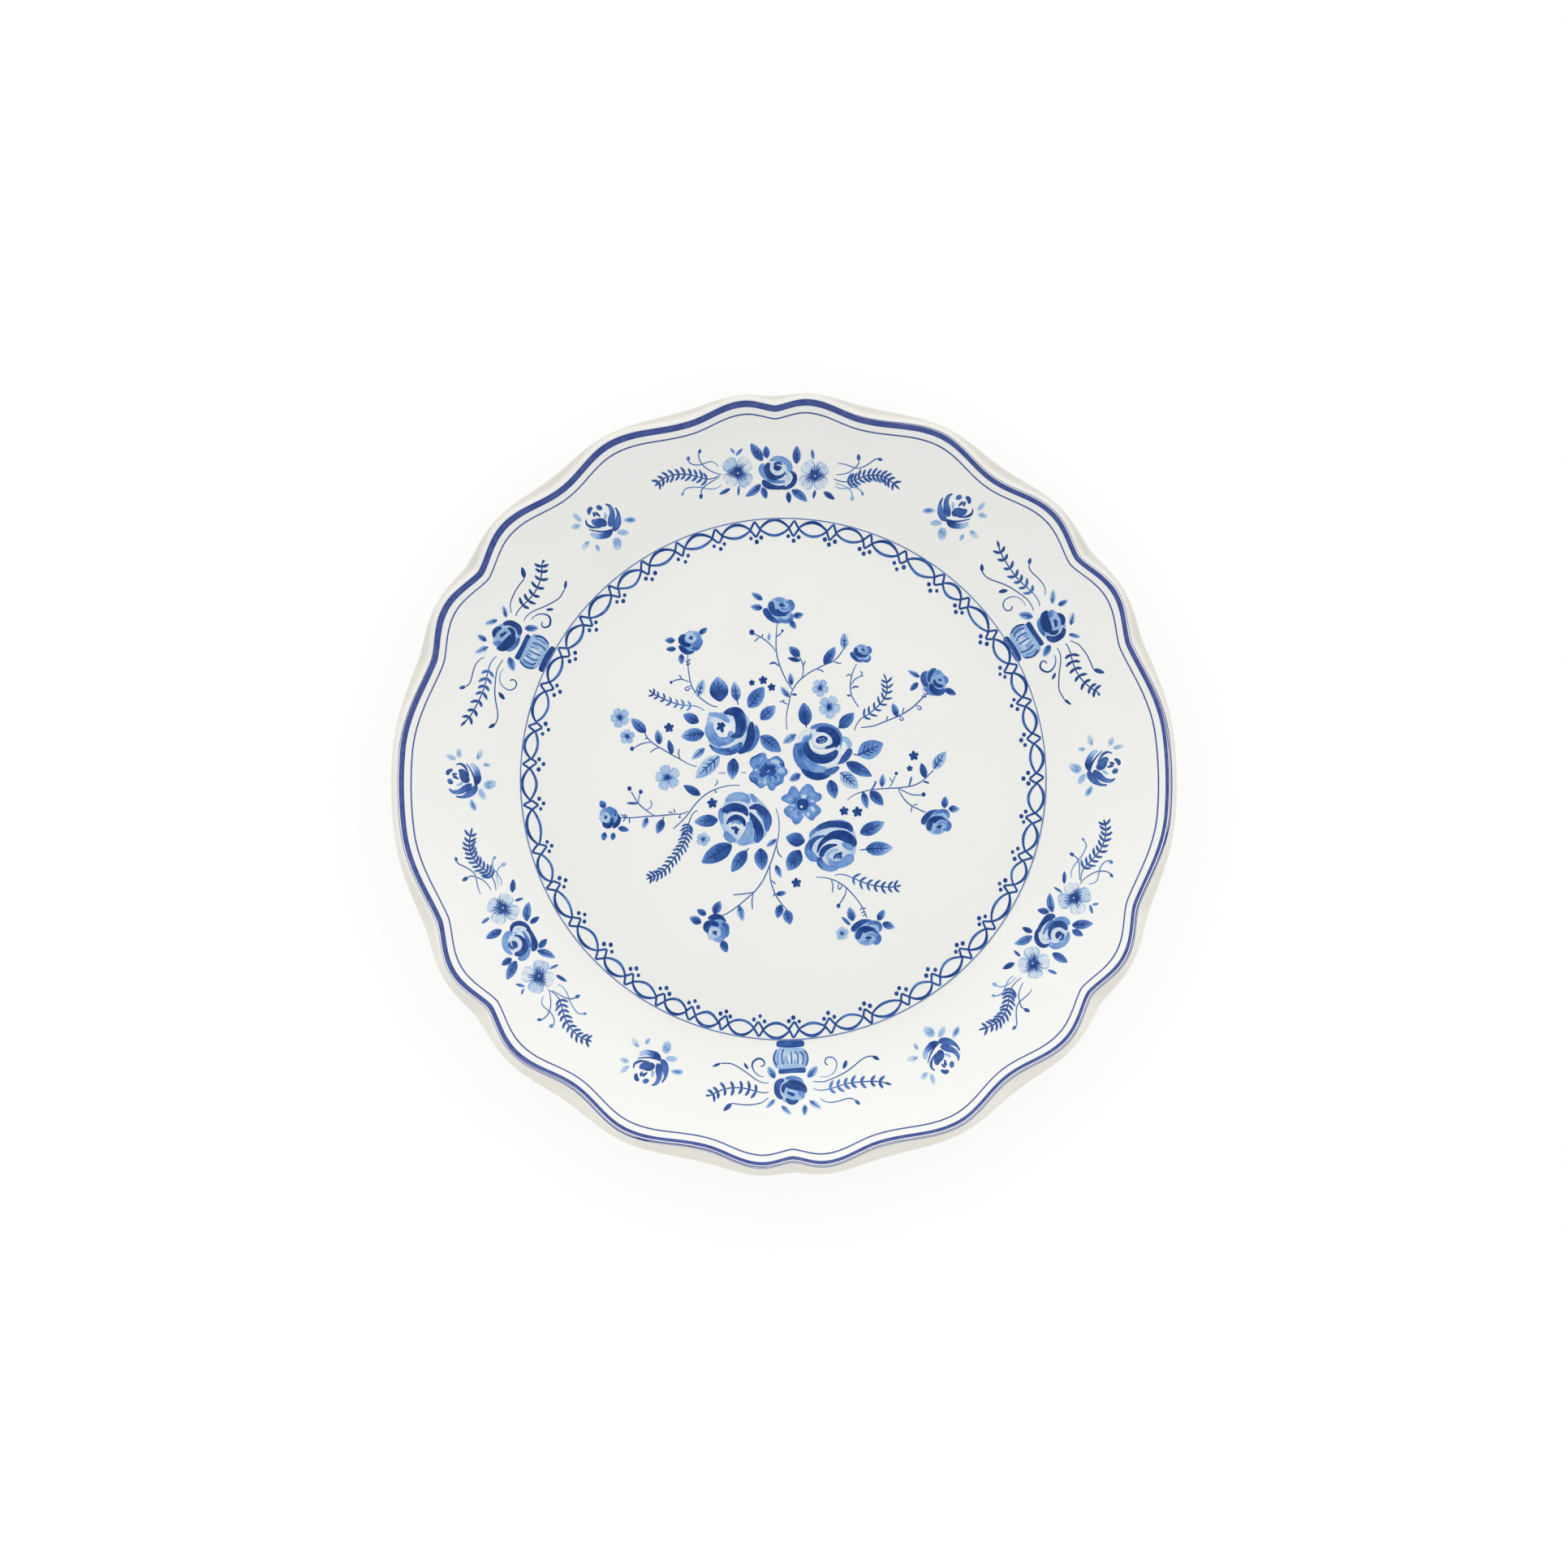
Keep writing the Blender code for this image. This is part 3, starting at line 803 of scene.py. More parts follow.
def sprig_rose_open(art):
    """A small rose seen from above, with a star for its heart; drawn about its own centre."""
    dot(art, 0.6, 0.1, 7.2, 0.42, pool=0.0)
    dot(art, 0.4, 1.6, 4, 0.2, pool=0.0)
    paint(
        art,
        ((-3.9, -1.3, -2.9, -2.2, -1.8, -3.2, -0.3, -3.8, 1.6, -3.4), (0.5, 1.7, 1.8, 1.3, 0.4), 1),
        ((1.1, -2.8, 2.5, -2.5, 3.6, -1.4), (0.6, 1.1, 0.6), 0.6),
        ((0.6, -2.4, 1.7, -2.2, 2.9, -1.5, 3.8, -0.5, 4.2, 0.7),
         (0.4, 1.2, 1.4, 1.2, 0.5), (0.95, 0.8, 0.65, 0.6, 0.65)),
        ((1.1, 3.3, 2.5, 2.7, 3.2, 1.2, 3, -0.1, 1.9, -1.1, 0.9, -1.4),
         (0.8, 1.6, 1.6, 1.8, 1.8, 0.8), (0.35, 0.4, 0.5, 0.6, 0.6, 0.55)),
        ((-0.4, 3.3, 0.3, 4), 0.6, 0.3),
        ((-1.4, 2.6, -2.6, 1.7, -2.9, 0.3, -1.9, -0.8, -0.6, -1.1, 0.4, -1),
         (0.5, 1.8, 2.1, 1.6, 1.4, 0.7), 1),
    )
    heart(art, 0.4, 1.4, (0, 2.2), (1.3, 1.9), (1, 0.7), (0.3, 0.7), (-0.5, 1.2), width=0.5)


def sprig_rose_swirl(art):
    """A small rose of nested crescents; drawn about its own centre."""
    dot(art, 0.4, -0.3, 8.4, 0.28, pool=0.0)
    paint(
        art,
        ((-1, -4, 0.3, -3.6, 2.1, -3.6), (0.8, 1.6, 1.2), 0.45),
        ((-4.1, -1, -4, 0.3, -2.9, 1.9, -1.4, 3.2, 0.9, 4.1),
         (1.4, 2, 1.9, 1.5, 0.4), (0.8, 0.9, 0.95, 0.85, 0.6)),
        ((-0.2, 2.4, 1.3, 3.4, 3.2, 3.6, 4.3, 2.6, 4.5, 1),
         (0.5, 1.2, 1.3, 1.3, 0.6), (0.5, 0.65, 0.7, 0.6, 0.5)),
        ((4.2, 0.1, 4.8, -1.2, 4.4, -2.6, 3.4, -3.4), (1, 1.4, 1.4, 0.7), 0.65),
        ((-2.2, -3.2, -2.2, -1.4, -1.5, 0.3, 0, 1.4, 2.8, 1.6),
         (1.6, 2, 1.9, 1.1, 0.3), (0.75, 0.95, 1, 1, 0.9)),
        ((-0.4, -0.6, 0.2, 0.4, 1.6, 1, 3, 0.8, 4.2, 0), (0.7, 1, 0.9, 0.8, 0.4), (1, 1, 0.9, 0.8, 0.7)),
        ((0.7, -0.8, 2.3, -0.3, 3.7, -1, 3.6, -2.4, 2.4, -3.2), 0.7, 0.5),
        ((0.2, -2.2, 1.3, -1.7, 2.4, -1.5), (0.6, 1, 0.5), 0.9),
        ((1.1, -2.6, 1.8, -2.4), 0.6, 0.8),
    )


def rose_upper_left(art):
    """The rose that turns to the left, with its eleven leaves."""
    leaves(
        art,
        (-21.5, 29.3, -22.1, 38, 6.4, (1, 0.95, 0.6, 0.35)),
        (-29.2, 31.2, -27, 37.2, 2.9, 0.3),
        (-15.6, 29.4, -16.4, 36.2, 3.3, (0.8, 0.5, 0.3)),
        (-11.6, 27, -6.2, 34, 5, 0.62),
        (-7.6, 22.8, -2.3, 27.4, 4, (0.85, 0.62, 0.4)),
        (-7.8, 17, -0.8, 11.5, 4.8, 0.64),
        (-29, 22.4, -34.4, 25.2, 3.6, (0.9, 0.8, 0.5)),
        (-27.2, 18.4, -35.4, 17.6, 4.6, (0.9, 0.6, 0.55, 0.3)),
        (-27.2, 13.3, -31.8, 9.6, 2.4, (0.5, 0.3)),
        (-22.2, 10.5, -30.6, 3, 5, 0.3),
        (-17.2, 9.6, -18, 2.2, 4, (0.95, 0.8, 0.3)),
    )
    lines(art, (-15.6, 29.8, -15.2, 28))
    lines(art, (-22.8, 4.7, -20, 4.5), (-14.8, 4.6, -13, 4.5), tone=0.45)
    wash(art, -20.4, 19.6, (
        -26.4, 20.6, -25.6, 24.6, -21.6, 25.6, -14, 25.4, -11.4, 22.4, -11.2, 18, -13, 13.6, -17.2, 11.8,
        -22.6, 12.4, -25.8, 15.6), (0.22, 0.04))
    paint(
        art,
        ((-25.8, 25.2, -23.4, 24.9, -21.2, 24.2, -19.6, 23.2, -18.4, 22),
         (1, 1.6, 1.8, 1.8, 0.9), (0.32, 0.4, 0.44, 0.48, 0.42)),
        ((-24.6, 22.4, -25.4, 20, -24.6, 17.6, -22.6, 15.6, -19.8, 15.2, -18, 16.6, -18.2, 19.2),
         (1.6, 3.1, 3.6, 3.6, 3.4, 3, 1.4), (0.36, 0.42, 0.48, 0.5, 0.48, 0.46, 0.44)),
        ((-24.2, 17, -22, 15, -19.4, 14.6), (0.6, 1.4, 0.8), 0.55),
        ((-22.6, 18, -21.4, 17.4, -20.3, 18.2), (0.5, 1.1, 0.5), 0.06),
        ((-9.4, 21, -8.9, 18.5, -9.3, 16, -10.8, 13.5, -12.8, 11.8), (0.8, 1.6, 1.9, 1.9, 1.2), 0.62),
        ((-10.6, 22.2, -11, 19.5, -11.2, 17, -12, 14.5, -13.5, 12.5, -15.6, 11.2),
         (1, 2.5, 2.8, 2.8, 2.3, 0.8), 1),
        ((-21.6, 13.7, -19, 14, -16.4, 15.4, -14.6, 17), (0.5, 0.7, 1, 1), 0.1),
        ((-25.6, 14.5, -23.5, 12.7, -20.5, 11.9, -18, 12.1, -16, 13.1, -14.2, 15),
         (0.6, 1.6, 2.3, 2.6, 2.6, 0.9), (0.85, 0.62, 0.72, 0.85, 0.72, 0.85)),
        ((-24.6, 12.7, -21.5, 11.5, -18.5, 11.4), (0.5, 0.8, 0.5), 0.55),
        ((-18.6, 12.6, -16.6, 13.6, -15.2, 14.6), (0.5, 0.9, 0.5), 0.55),
        ((-20.4, 25.2, -18, 25.8, -15.6, 25.3, -14.5, 22.8, -14.4, 20.2, -15.5, 17.8, -18.1, 16.9),
         (0.9, 2.6, 3.8, 4, 3.9, 2.8, 0.6), (0.95, 1, 1, 1, 1, 0.95, 0.9)),
        ((-13.6, 25, -12.7, 22.6, -12.8, 20, -13.8, 17.8), (0.3, 0.5, 0.5, 0.3), 0.68),
    )
    heart(
        art, -21.2, 20.8, (-22.6, 22), (-20.6, 22.2), (-19.8, 21.2), (-20.9, 18.5), (-22.9, 19.7),
        width=1.25
    )


def rose_upper_right(art):
    """The largest rose, open to the upper right, with its eight leaves."""
    leaves(
        art,
        (8.2, 20.3, 7.5, 28.3, 4.6, (0.95, 0.75, 0.6)),
        (19.7, 19.2, 24.8, 24.3, 4, (0.85, 0.75, 0.6)),
        (4.6, 17.4, 0, 14.4, 2.6, 0.4),
        (25.9, 9.7, 34.7, 13.5, 6.4, 0.5),
        (21.8, 7.2, 30.5, 2.2, 4, (0.95, 0.8, 0.6)),
        (5.8, 3.6, 2, 1.4, 2.6, 0.6),
        (19.6, 3.8, 25.6, -1.9, 4.8, 0.3),
        (16, 1.3, 17.6, -5.3, 3.8, (0.95, 0.75, 0.5)),
    )
    lines(art, (24.1, 10.1, 26.3, 9.6), (8, 20.8, 8.3, 19.5), (19, 18.9, 20.2, 19.8))
    dot(art, 13.6, 12.4, 16.6, 0.1, pool=0.0)
    paint(
        art,
        ((19.4, 15.2, 21.4, 15.2, 22.8, 13.9, 23.1, 12.2), (1.6, 2, 1.9, 1.2), 0.33),
        ((20.6, 14.4, 21.2, 12.2, 20, 9.6), (1.6, 2.2, 1.2), 0.08),
        ((19.8, 15.4, 20.2, 13.8, 19.8, 12), (0.4, 0.6, 0.4), 0.36),
        ((9.6, 19.4, 13, 20.2, 16, 19.8, 18.5, 18.2, 19.6, 16, 19.6, 13.2),
         (1, 1.7, 1.8, 1.9, 1.9, 1), 0.6),
        ((10, 17.5, 8, 15.5, 6.5, 12.8, 6.2, 9.5, 8.2, 6.6, 11.5, 5, 15, 5.2),
         (1.5, 3, 3.6, 4.6, 4.6, 4, 2), (0.45, 0.62, 0.72, 0.68, 0.5, 0.46, 0.46)),
        ((4.8, 14.4, 4.3, 11.5, 5, 8.5, 6.7, 6, 9, 4),
         (1, 1.9, 2.2, 2.2, 1.5), (0.66, 0.62, 0.6, 0.62, 0.7)),
        ((5.4, 14.4, 7, 16.8, 9.6, 18.5), (0.8, 2.4, 1.8), 0.1),
        ((6.6, 14.2, 7.4, 16, 8.6, 17), (0.8, 1.1, 0.5), 0.45),
        ((8.4, 11, 8.8, 8.2, 11.6, 6.6), (0.8, 1.6, 1), 0.5),
        ((5.8, 12.4, 6, 9.6), 1.4, 0.78),
        ((23.4, 12.1, 22.3, 10, 20.5, 8, 18, 7.1), (1.8, 2.4, 2.1, 0.8), (0.85, 0.82, 0.85, 0.9)),
        ((11.6, 7.2, 14.4, 6.6, 17, 6.8, 19, 8.6, 19.6, 10.8), (0.6, 1.6, 2, 1.5, 0.8), 0.08),
        ((14.6, 8, 17.4, 9, 19, 11.2), (0.4, 0.5, 0.4), 0.22),
        ((6.2, 5.2, 8.5, 3.5, 11.5, 2.6, 14.5, 2.9, 16.7, 4.1), (1, 2.2, 2.6, 2.1, 1), 1),
        ((14, 3.5, 17, 4.5, 19.3, 5.7), (2, 2.2, 0.9), (0.8, 0.7, 0.75)),
        ((7.6, 14.6, 8.3, 11.9, 9.9, 9.8, 12.4, 8.6, 15, 8.7, 17.4, 9.9, 18.8, 11.5),
         (1.8, 2.6, 3, 3.2, 3.1, 2.6, 1.1), (0.9, 1, 1, 1, 1, 0.95, 0.95)),
        ((11.4, 18.5, 14, 18.9, 16.4, 18.2, 18, 16.6, 18.5, 14.6, 17.4, 13, 14.4, 12.4),
         (1, 2.1, 2.7, 2.8, 2.8, 1.9, 0.6), 1),
        ((9.3, 15.4, 10.2, 12.7, 12.6, 11.4, 15.6, 11.4, 18.2, 12.5), (0.9, 1.6, 1.7, 1.4, 0.5), 0.07),
        ((10.4, 13.4, 12.2, 12.2, 14.4, 12.2), (0.3, 0.4, 0.3), 0.24),
        ((10.4, 15.2, 13.3, 15.2, 16.2, 15.2), 5.4, 0.07),
        ((11.3, 14.7, 13.4, 15.3, 15.6, 15.6), (1.6, 2.7, 1.6), 1),
        ((12.1, 15.6, 13.4, 15.4, 14.4, 16), (0.25, 0.3, 0.25), 0.3),
        ((12.4, 14.5, 13.8, 14.6, 15, 15.4), (0.25, 0.3, 0.25), 0.25),
    )


def rose_lower_left(art):
    """The rose that opens down and to the right, with its leaves."""
    leaves(
        art,
        (-23.2, -11.7, -31.4, -12.1, 4.2, (0.95, 0.9, 0.6, 0.4)),
        (-18.6, -20.4, -29.2, -26.3, 5.8, (0.95, 0.8, 0.6)),
        (-13.6, -22.5, -18.9, -29.8, 4.2, (0.9, 0.72, 0.6)),
        (-8.7, -21.8, -8.3, -29.5, 4.6, (0.9, 0.7, 0.5)),
        (-29.1, -2.9, -34.8, 0.6, 2.8, 0.85),
        (-3, -18.8, -6.6, -21.3, 1.8, 0.45),
        (-3.5, -27.8, -1.8, -32.2, 2, (0.75, 0.3)),
        (-2.1, -41.5, -3.4, -46.2, 2.8, (0.9, 0.6)),
        (-3.6, -38, 0, -37.3, 1.8, (0.9, 0.4)),
        (-0.3, -43.3, 1, -48.5, 3.4, 0.6),
    )
    lines(art, (-12.6, -21.6, -13.8, -22.9))
    wash(art, -14.2, -11.6, (
        -22.7, -11, -20.7, -5.8, -16.5, -2.8, -11.4, -3.2, -8.6, -4.9, -5.4, -9, -4.9, -12, -6, -16,
        -8.2, -19, -12, -20.4, -16, -20.2, -19.2, -18.4, -21.4, -15.4), (0.22, 0.08))
    paint(
        art,
        ((-20.5, -5.5, -18.5, -4.1, -16, -3.7, -13.5, -4.4, -12.3, -6.2),
         (1, 2.5, 3.1, 2.9, 1), (0.44, 0.4, 0.42, 0.48)),
        ((-11.6, -2.7, -10.7, -4.3, -9.8, -5.8), (0.7, 1.7, 1.6), 0.48),
        ((-21.4, -7.4, -22.1, -9.4, -22, -11.4, -21.6, -13.4),
         (1.4, 1.9, 1.6, 0.9), (0.66, 0.46, 0.44, 0.4)),
        ((-20.8, -15.6, -20.1, -17.3, -18.6, -18.5, -17, -19), (1.2, 2.5, 2.4, 0.9), 0.52),
        ((-12.6, -12.6, -12.6, -16.2, -13.8, -18.8, -16.6, -20),
         (1.2, 3.1, 3.8, 1.2), (0.46, 0.44, 0.42, 0.4)),
        ((-11.6, -17, -11.6, -18.6, -12.2, -20.2), (0.8, 1.4, 0.8), 0.38),
        ((-12.4, -7.9, -9.6, -7.5, -7.2, -9.6, -6, -12.4, -6.3, -16.2),
         (0.7, 2.3, 3.3, 3.1, 1), (0.95, 0.98, 0.85, 0.72, 0.66)),
        ((-9.6, -9.2, -7.6, -11.4, -6.9, -14.4), (0.6, 1, 0.6), 0.62),
        ((-21.5, -8.9, -19, -7.6, -16.3, -7.5, -14, -8.5, -12.8, -10.6), (1.8, 2.8, 3, 2.5, 0.8), 1),
        ((-20.4, -9.6, -18.6, -8.8), (0.6, 0.5), 0.68),
        ((-12.1, -9.3, -10.7, -11.7, -9.4, -14.4, -9, -17.2, -10, -20),
         (0.7, 2.2, 3.1, 3.1, 1.2), (1, 1, 0.97, 0.88, 0.8)),
        ((-10.6, -15, -10.4, -17.6, -10.6, -19.6), (0.4, 0.9, 0.7), 0.6),
        ((-12.2, -11.2, -11.5, -13.6, -11.4, -16), (0.4, 0.9, 0.4), 0.42),
        ((-18.8, -12.9, -17, -12.3, -15, -13.3), (0.7, 1.3, 0.8), 0.45),
        ((-20.3, -13.3, -19, -11.7, -17.2, -10.9, -15.4, -11.3, -14.3, -12.5, -13.9, -14.2),
         (0.4, 1.5, 1.9, 1.8, 1.5, 0.6), 0.97),
    )
    heart(art, -17.2, -14.9, (-18.7, -14.4), (-16.9, -14), (-15.8, -15.4), (-16.8, -16.9), width=1.1)


def rose_lower_right(art):
    """The rose with the wide crescent over its heart, and its leaves."""
    leaves(
        art,
        (26, -17.5, 34.6, -13.9, 4.4, (0.9, 0.7, 0.35)),
        (27.8, -23, 37.2, -22.8, 4.8, (0.85, 0.65, 0.5, 0.3)),
        (6.8, -19.9, 0.2, -18.2, 4.8, (0.95, 0.8, 0.6)),
        (5, -22.8, 0.6, -29.8, 5.2, (1, 0.75, 0.5)),
    )
    lines(art, (25.7, -23.3, 28.2, -23))
    wash(art, 16, -21.6, (
        8.2, -19, 10.4, -16.4, 14, -14.2, 20, -13.4, 23.2, -15.2, 24.6, -19.4, 24, -24.4, 21.6, -28,
        17.6, -29.6, 13.4, -28.8, 9.4, -25.4, 7.6, -22.4), (0.22, 0.1))
    paint(
        art,
        ((23.6, -17.2, 24.2, -18.6, 24.2, -20), (0.4, 0.7, 0.4), 0.26),
        ((8.5, -18.7, 9.3, -17, 10.8, -15.5), (0.9, 1.5, 1.2), (0.4, 0.5, 0.6)),
        ((10.2, -16.2, 12.5, -14.9, 16, -14, 20, -14.2, 22.2, -15.2, 23.3, -16.9),
         (1.2, 2, 2.4, 2.7, 2.2, 1), (0.6, 0.85, 0.97, 1, 0.95, 0.78)),
        ((16, -13, 19.4, -12.9, 22, -13.7), (0.3, 0.5, 0.3), 0.6),
        ((13.8, -17.9, 10.6, -18.9, 8.5, -20.9, 7.9, -23.2, 9.2, -25.3, 11.2, -26.4),
         (0.5, 1.4, 2.2, 2.7, 2.9, 1.4), (0.9, 0.88, 0.72, 0.58, 0.55, 0.52)),
        ((9.8, -19.8, 8.9, -21.4, 8.8, -23.2), (0.4, 0.6, 0.4), 0.85),
        ((10.9, -23.9, 12.1, -21.1, 14.6, -18.8, 17.4, -17.8, 20.6, -18.3, 23.2, -20.3, 24.2, -22),
         (0.5, 1.3, 2, 3, 3.7, 3.1, 1.2), 1),
        ((19.6, -20.6, 21.6, -21.9, 23.6, -22.8), (1.2, 2.3, 1.4), 0.5),
        ((11.9, -25.3, 11.9, -27.3, 13.5, -28.9, 16, -29.6, 18.1, -29.4),
         (1.6, 2.4, 2.3, 1.8, 0.8), (0.85, 0.66, 0.5, 0.5, 0.52)),
        ((11.1, -25.8, 11.3, -27.8, 12.6, -29.2), (0.3, 0.6, 0.4), 0.85),
        ((12.2, -25.4, 13, -23.3, 14.9, -21.8, 18, -21.2), (1.8, 2, 1.7, 0.6), 1),
        ((14.5, -26.4, 14.6, -24.5, 16.3, -23.2, 18.4, -22.9), (0.6, 1.2, 1.3, 0.5), 0.3),
        ((15, -25.6, 15.6, -27.3, 17.6, -28.2, 20, -27.6, 22, -26.2, 23.2, -24.8),
         (0.8, 1.7, 2.2, 2.8, 3.3, 2), (0.38, 0.44, 0.48, 0.48, 0.46, 0.5)),
        ((15.8, -25.8, 17.9, -25.3, 20.2, -24.7), (2, 3.2, 2), 0.2),
        ((16.7, -26.2, 17.5, -24.8, 19.7, -23.9), (0.6, 0.8, 0.5), 1),
        ((17.6, -26, 18.5, -25.2, 19.6, -24.4), (0.5, 0.7, 0.4), 1),
        ((18.6, -26.2, 19.6, -25.2), (0.5, 0.7), 1),
    )


def flower_by_the_left_rose(art):
    """A broad flower of five notched petals round a ragged dark heart."""
    wash(art, -5.6, 5, (
        -5.4, 9, -3.8, 9.6, -2.2, 10.1, -0.8, 9.1, 0, 7.6, 0.3, 6.2, 1.3, 5.1, 1.2, 3.7, 0.1, 2.7,
        -0.3, 0.8, -1.5, 0.1, -2.7, -0.6, -3.4, -1.7, -4.5, -1.9, -5.3, -1.3, -6, 0, -7.2, -0.8, -8.3, -1,
        -9.2, -0.3, -10.1, 0.8, -11.3, 1.4, -12.1, 2.8, -11.8, 4, -10.6, 5.4, -11.5, 6.9, -11.8, 7.9,
        -11.2, 9, -9.5, 9.9, -8.5, 10.7, -7.2, 11.3, -6.1, 10.8), (0.5, 0.58), 0.07)
    paint(
        art,
        ((-4.6, 8, -3, 8.2, -1.6, 7.4, -1.2, 6), (0.8, 1.4, 1.2, 0.8), 0.2),
        ((-2.2, 4.6, -0.8, 4.9, 0.4, 4.4), (1, 1.7, 1.2), 0.27),
        ((-2.6, 2.6, -1.4, 1.8), 1.2, 0.3),
        ((-4.2, 1.6, -4, -0.2), (0.9, 1.2), 0.32),
        ((-6.6, 2.8, -6.5, 1.2, -7, 0.2), (0.8, 1.2, 0.8), 0.26),
        ((-8, 1.6, -9, 0.8), 1, 0.34),
        ((-10.2, 5.4, -9, 5.3), 0.8, 0.2),
        ((-8.2, 8.8, -7, 9.6), 1.2, 0.36),
        pool=0.0,
        fade=0.5,
    )
    paint(
        art,
        ((-11.7, 8.4, -10.8, 9.5, -9.2, 10.3, -7.6, 11.2), (0.2, 0.5, 0.45, 0.3), 0.88),
        ((-1, 9, -0.3, 8, -0.1, 7, 0.2, 6.2), (0.3, 0.6, 0.8, 0.3), 0.85),
        ((-1.5, 7.7, -0.8, 6.9, 0.1, 6.5), (0.4, 0.8, 0.5), 0.75),
        ((-12, 3, -11.2, 1.7, -10, 1, -9.1, -0.2), (0.3, 0.8, 0.7, 0.3), 0.92),
        ((-10.9, 2.9, -9.6, 1.9, -8.9, 0.9), (0.4, 0.8, 0.4), 0.75),
        ((-4.6, 0.8, -2.4, 0.1, -0.6, 0.9), (0.3, 0.5, 0.4), 0.62),
        ((-3.2, 3, -2.2, 2), (0.8, 0.4), 0.8),
        ((-4.8, 2.8, -4.5, 1), (0.7, 0.4), 0.75),
        ((-9.6, 7, -8.4, 6.4), (0.4, 0.8), 0.75),
    )
    wash(art, -5.5, 5.1, (
        -6.2, 7.7, -5.4, 6.9, -3.9, 7, -2.8, 6.4, -3, 5.4, -2.4, 4.8, -3, 4, -3.3, 3.1, -4.3, 3.2,
        -4.9, 2.8, -5.8, 3.5, -7, 2.9, -7.9, 2.8, -8.4, 3.6, -8, 4.6, -8.5, 5.4, -7.6, 5.9, -7.5, 6.6,
        -6.8, 6.7), (0.84, 1))
    brush(art, (-6, 4.6, -5.2, 4.7, -4.9, 5.4), 0.42, 0.3)


def flower_by_the_right_rose(art):
    """A broad flower of four notched petals round a small dark heart."""
    wash(art, 6, -7, (
        5.2, -2.6, 6.1, -1.4, 7.6, -0.1, 8.8, 0, 10.1, -1.1, 10.9, -2.7, 12.6, -3.4, 13, -4.6, 12.4, -5.7,
        10.8, -6.5, 11.4, -7.4, 12.4, -8.4, 12.6, -9.6, 11.9, -10.5, 10.8, -11.4, 9.7, -12.6, 8.5, -12.3,
        7, -11, 6.1, -12, 5.3, -13.2, 4, -13.9, 2.9, -13.4, 2.2, -12, 0.8, -11, -0.2, -9.6, 0, -8.2,
        1.8, -6.9, 0.6, -6.2, -0.8, -5.5, -1.1, -4.6, -0.1, -3.6, 1.1, -3.1, 1.7, -1.8, 2.6, -0.7,
        3.8, -0.7, 4.7, -1.8), (0.5, 0.5), 0.06)
    paint(
        art,
        ((5.8, -4.2, 7.8, -4.4), (1.6, 1.4), 0.14),
        ((8.8, -3, 10.6, -4.2), 1.2, 0.36),
        ((9, -5.8, 10.6, -6), (0.8, 0.5), 0.16),
        ((8.8, -8, 9.8, -8.6, 10.2, -9.8), (0.7, 1.3, 0.8), 0.16),
        ((7.8, -9.6, 8.4, -11.2), (0.9, 1.4), 0.2),
        ((6.4, -10, 6.6, -11.2), (0.5, 0.7), 0.14),
        ((1.8, -7.1, 3.6, -7.3), (0.3, 0.6), 0.12),
        ((1.6, -8.9, 3.4, -8.3), 0.9, 0.3),
        ((3.6, -11.6, 4.6, -10.2), 1.1, 0.32),
        ((1, -5, 2.6, -5.2), 0.9, 0.34),
        pool=0.0,
        fade=0.5,
    )
    paint(
        art,
        ((4.4, -5.6, 3, -4.6), (1.3, 0.5), 0.66),
        ((4.2, -6.4, 2.6, -5.9), (1, 0.4), 0.68),
        ((5.4, -5, 5, -3.6), (0.9, 0.3), 0.62),
        ((7.6, -5.2, 8.6, -4), (1, 0.4), 0.62),
        ((8.2, -7, 9.4, -6.8), (1, 0.4), 0.62),
        ((4.2, -8, 2.6, -9), (1, 0.4), 0.62),
        ((5, -9, 4.4, -11), (1, 0.4), 0.6),
        ((7.4, -8.8, 8.2, -9.8), (1, 0.4), 0.6),
        fade=0.35,
    )
    wash(art, 6.2, -7, (
        6.2, -5, 7.4, -5.2, 8.3, -6, 8.2, -7.4, 7.8, -8.6, 6.6, -9, 5.2, -8.9, 4.4, -8, 4.3, -6.6, 5, -5.4),
        (0.97, 1))
    dot(art, 5.9, -7.8, 1, 0.1)


def open_flowers(art):
    """The two broad flowers between the roses, the seven pale blossoms and the loose florets."""
    flower_by_the_left_rose(art)
    flower_by_the_right_rose(art)
    for x, y, size, turn in (
        (-56.4, 24.6, 3.4, 40),
        (-54, 18, 2.6, 15),
        (-40.4, 3.5, 4.4, 30),
        (13.3, 33.3, 3, 55),
        (16.3, 26.6, 3.9, 60),
        (-28.5, -18.2, 2.4, 0),
        (18.9, -52, 2.3, 20),
    ):
        blossom(art, x, y, size, turn)
    for x, y, size in (
        (-10.3, 35.6, 1.1),
        (-6.4, 36.4, 1.5),
        (-3.5, 33.9, 1.4),
        (-39.4, 20.7, 1.7),
        (45.2, 9, 1.7),
        (43.7, 4.6, 1.1),
        (-25, -5.8, 1.8),
        (20.6, -9.6, 1.6),
        (25.2, -10, 1.8),
        (3.5, -34.1, 1.7),
    ):
        star(art, x, y, size)


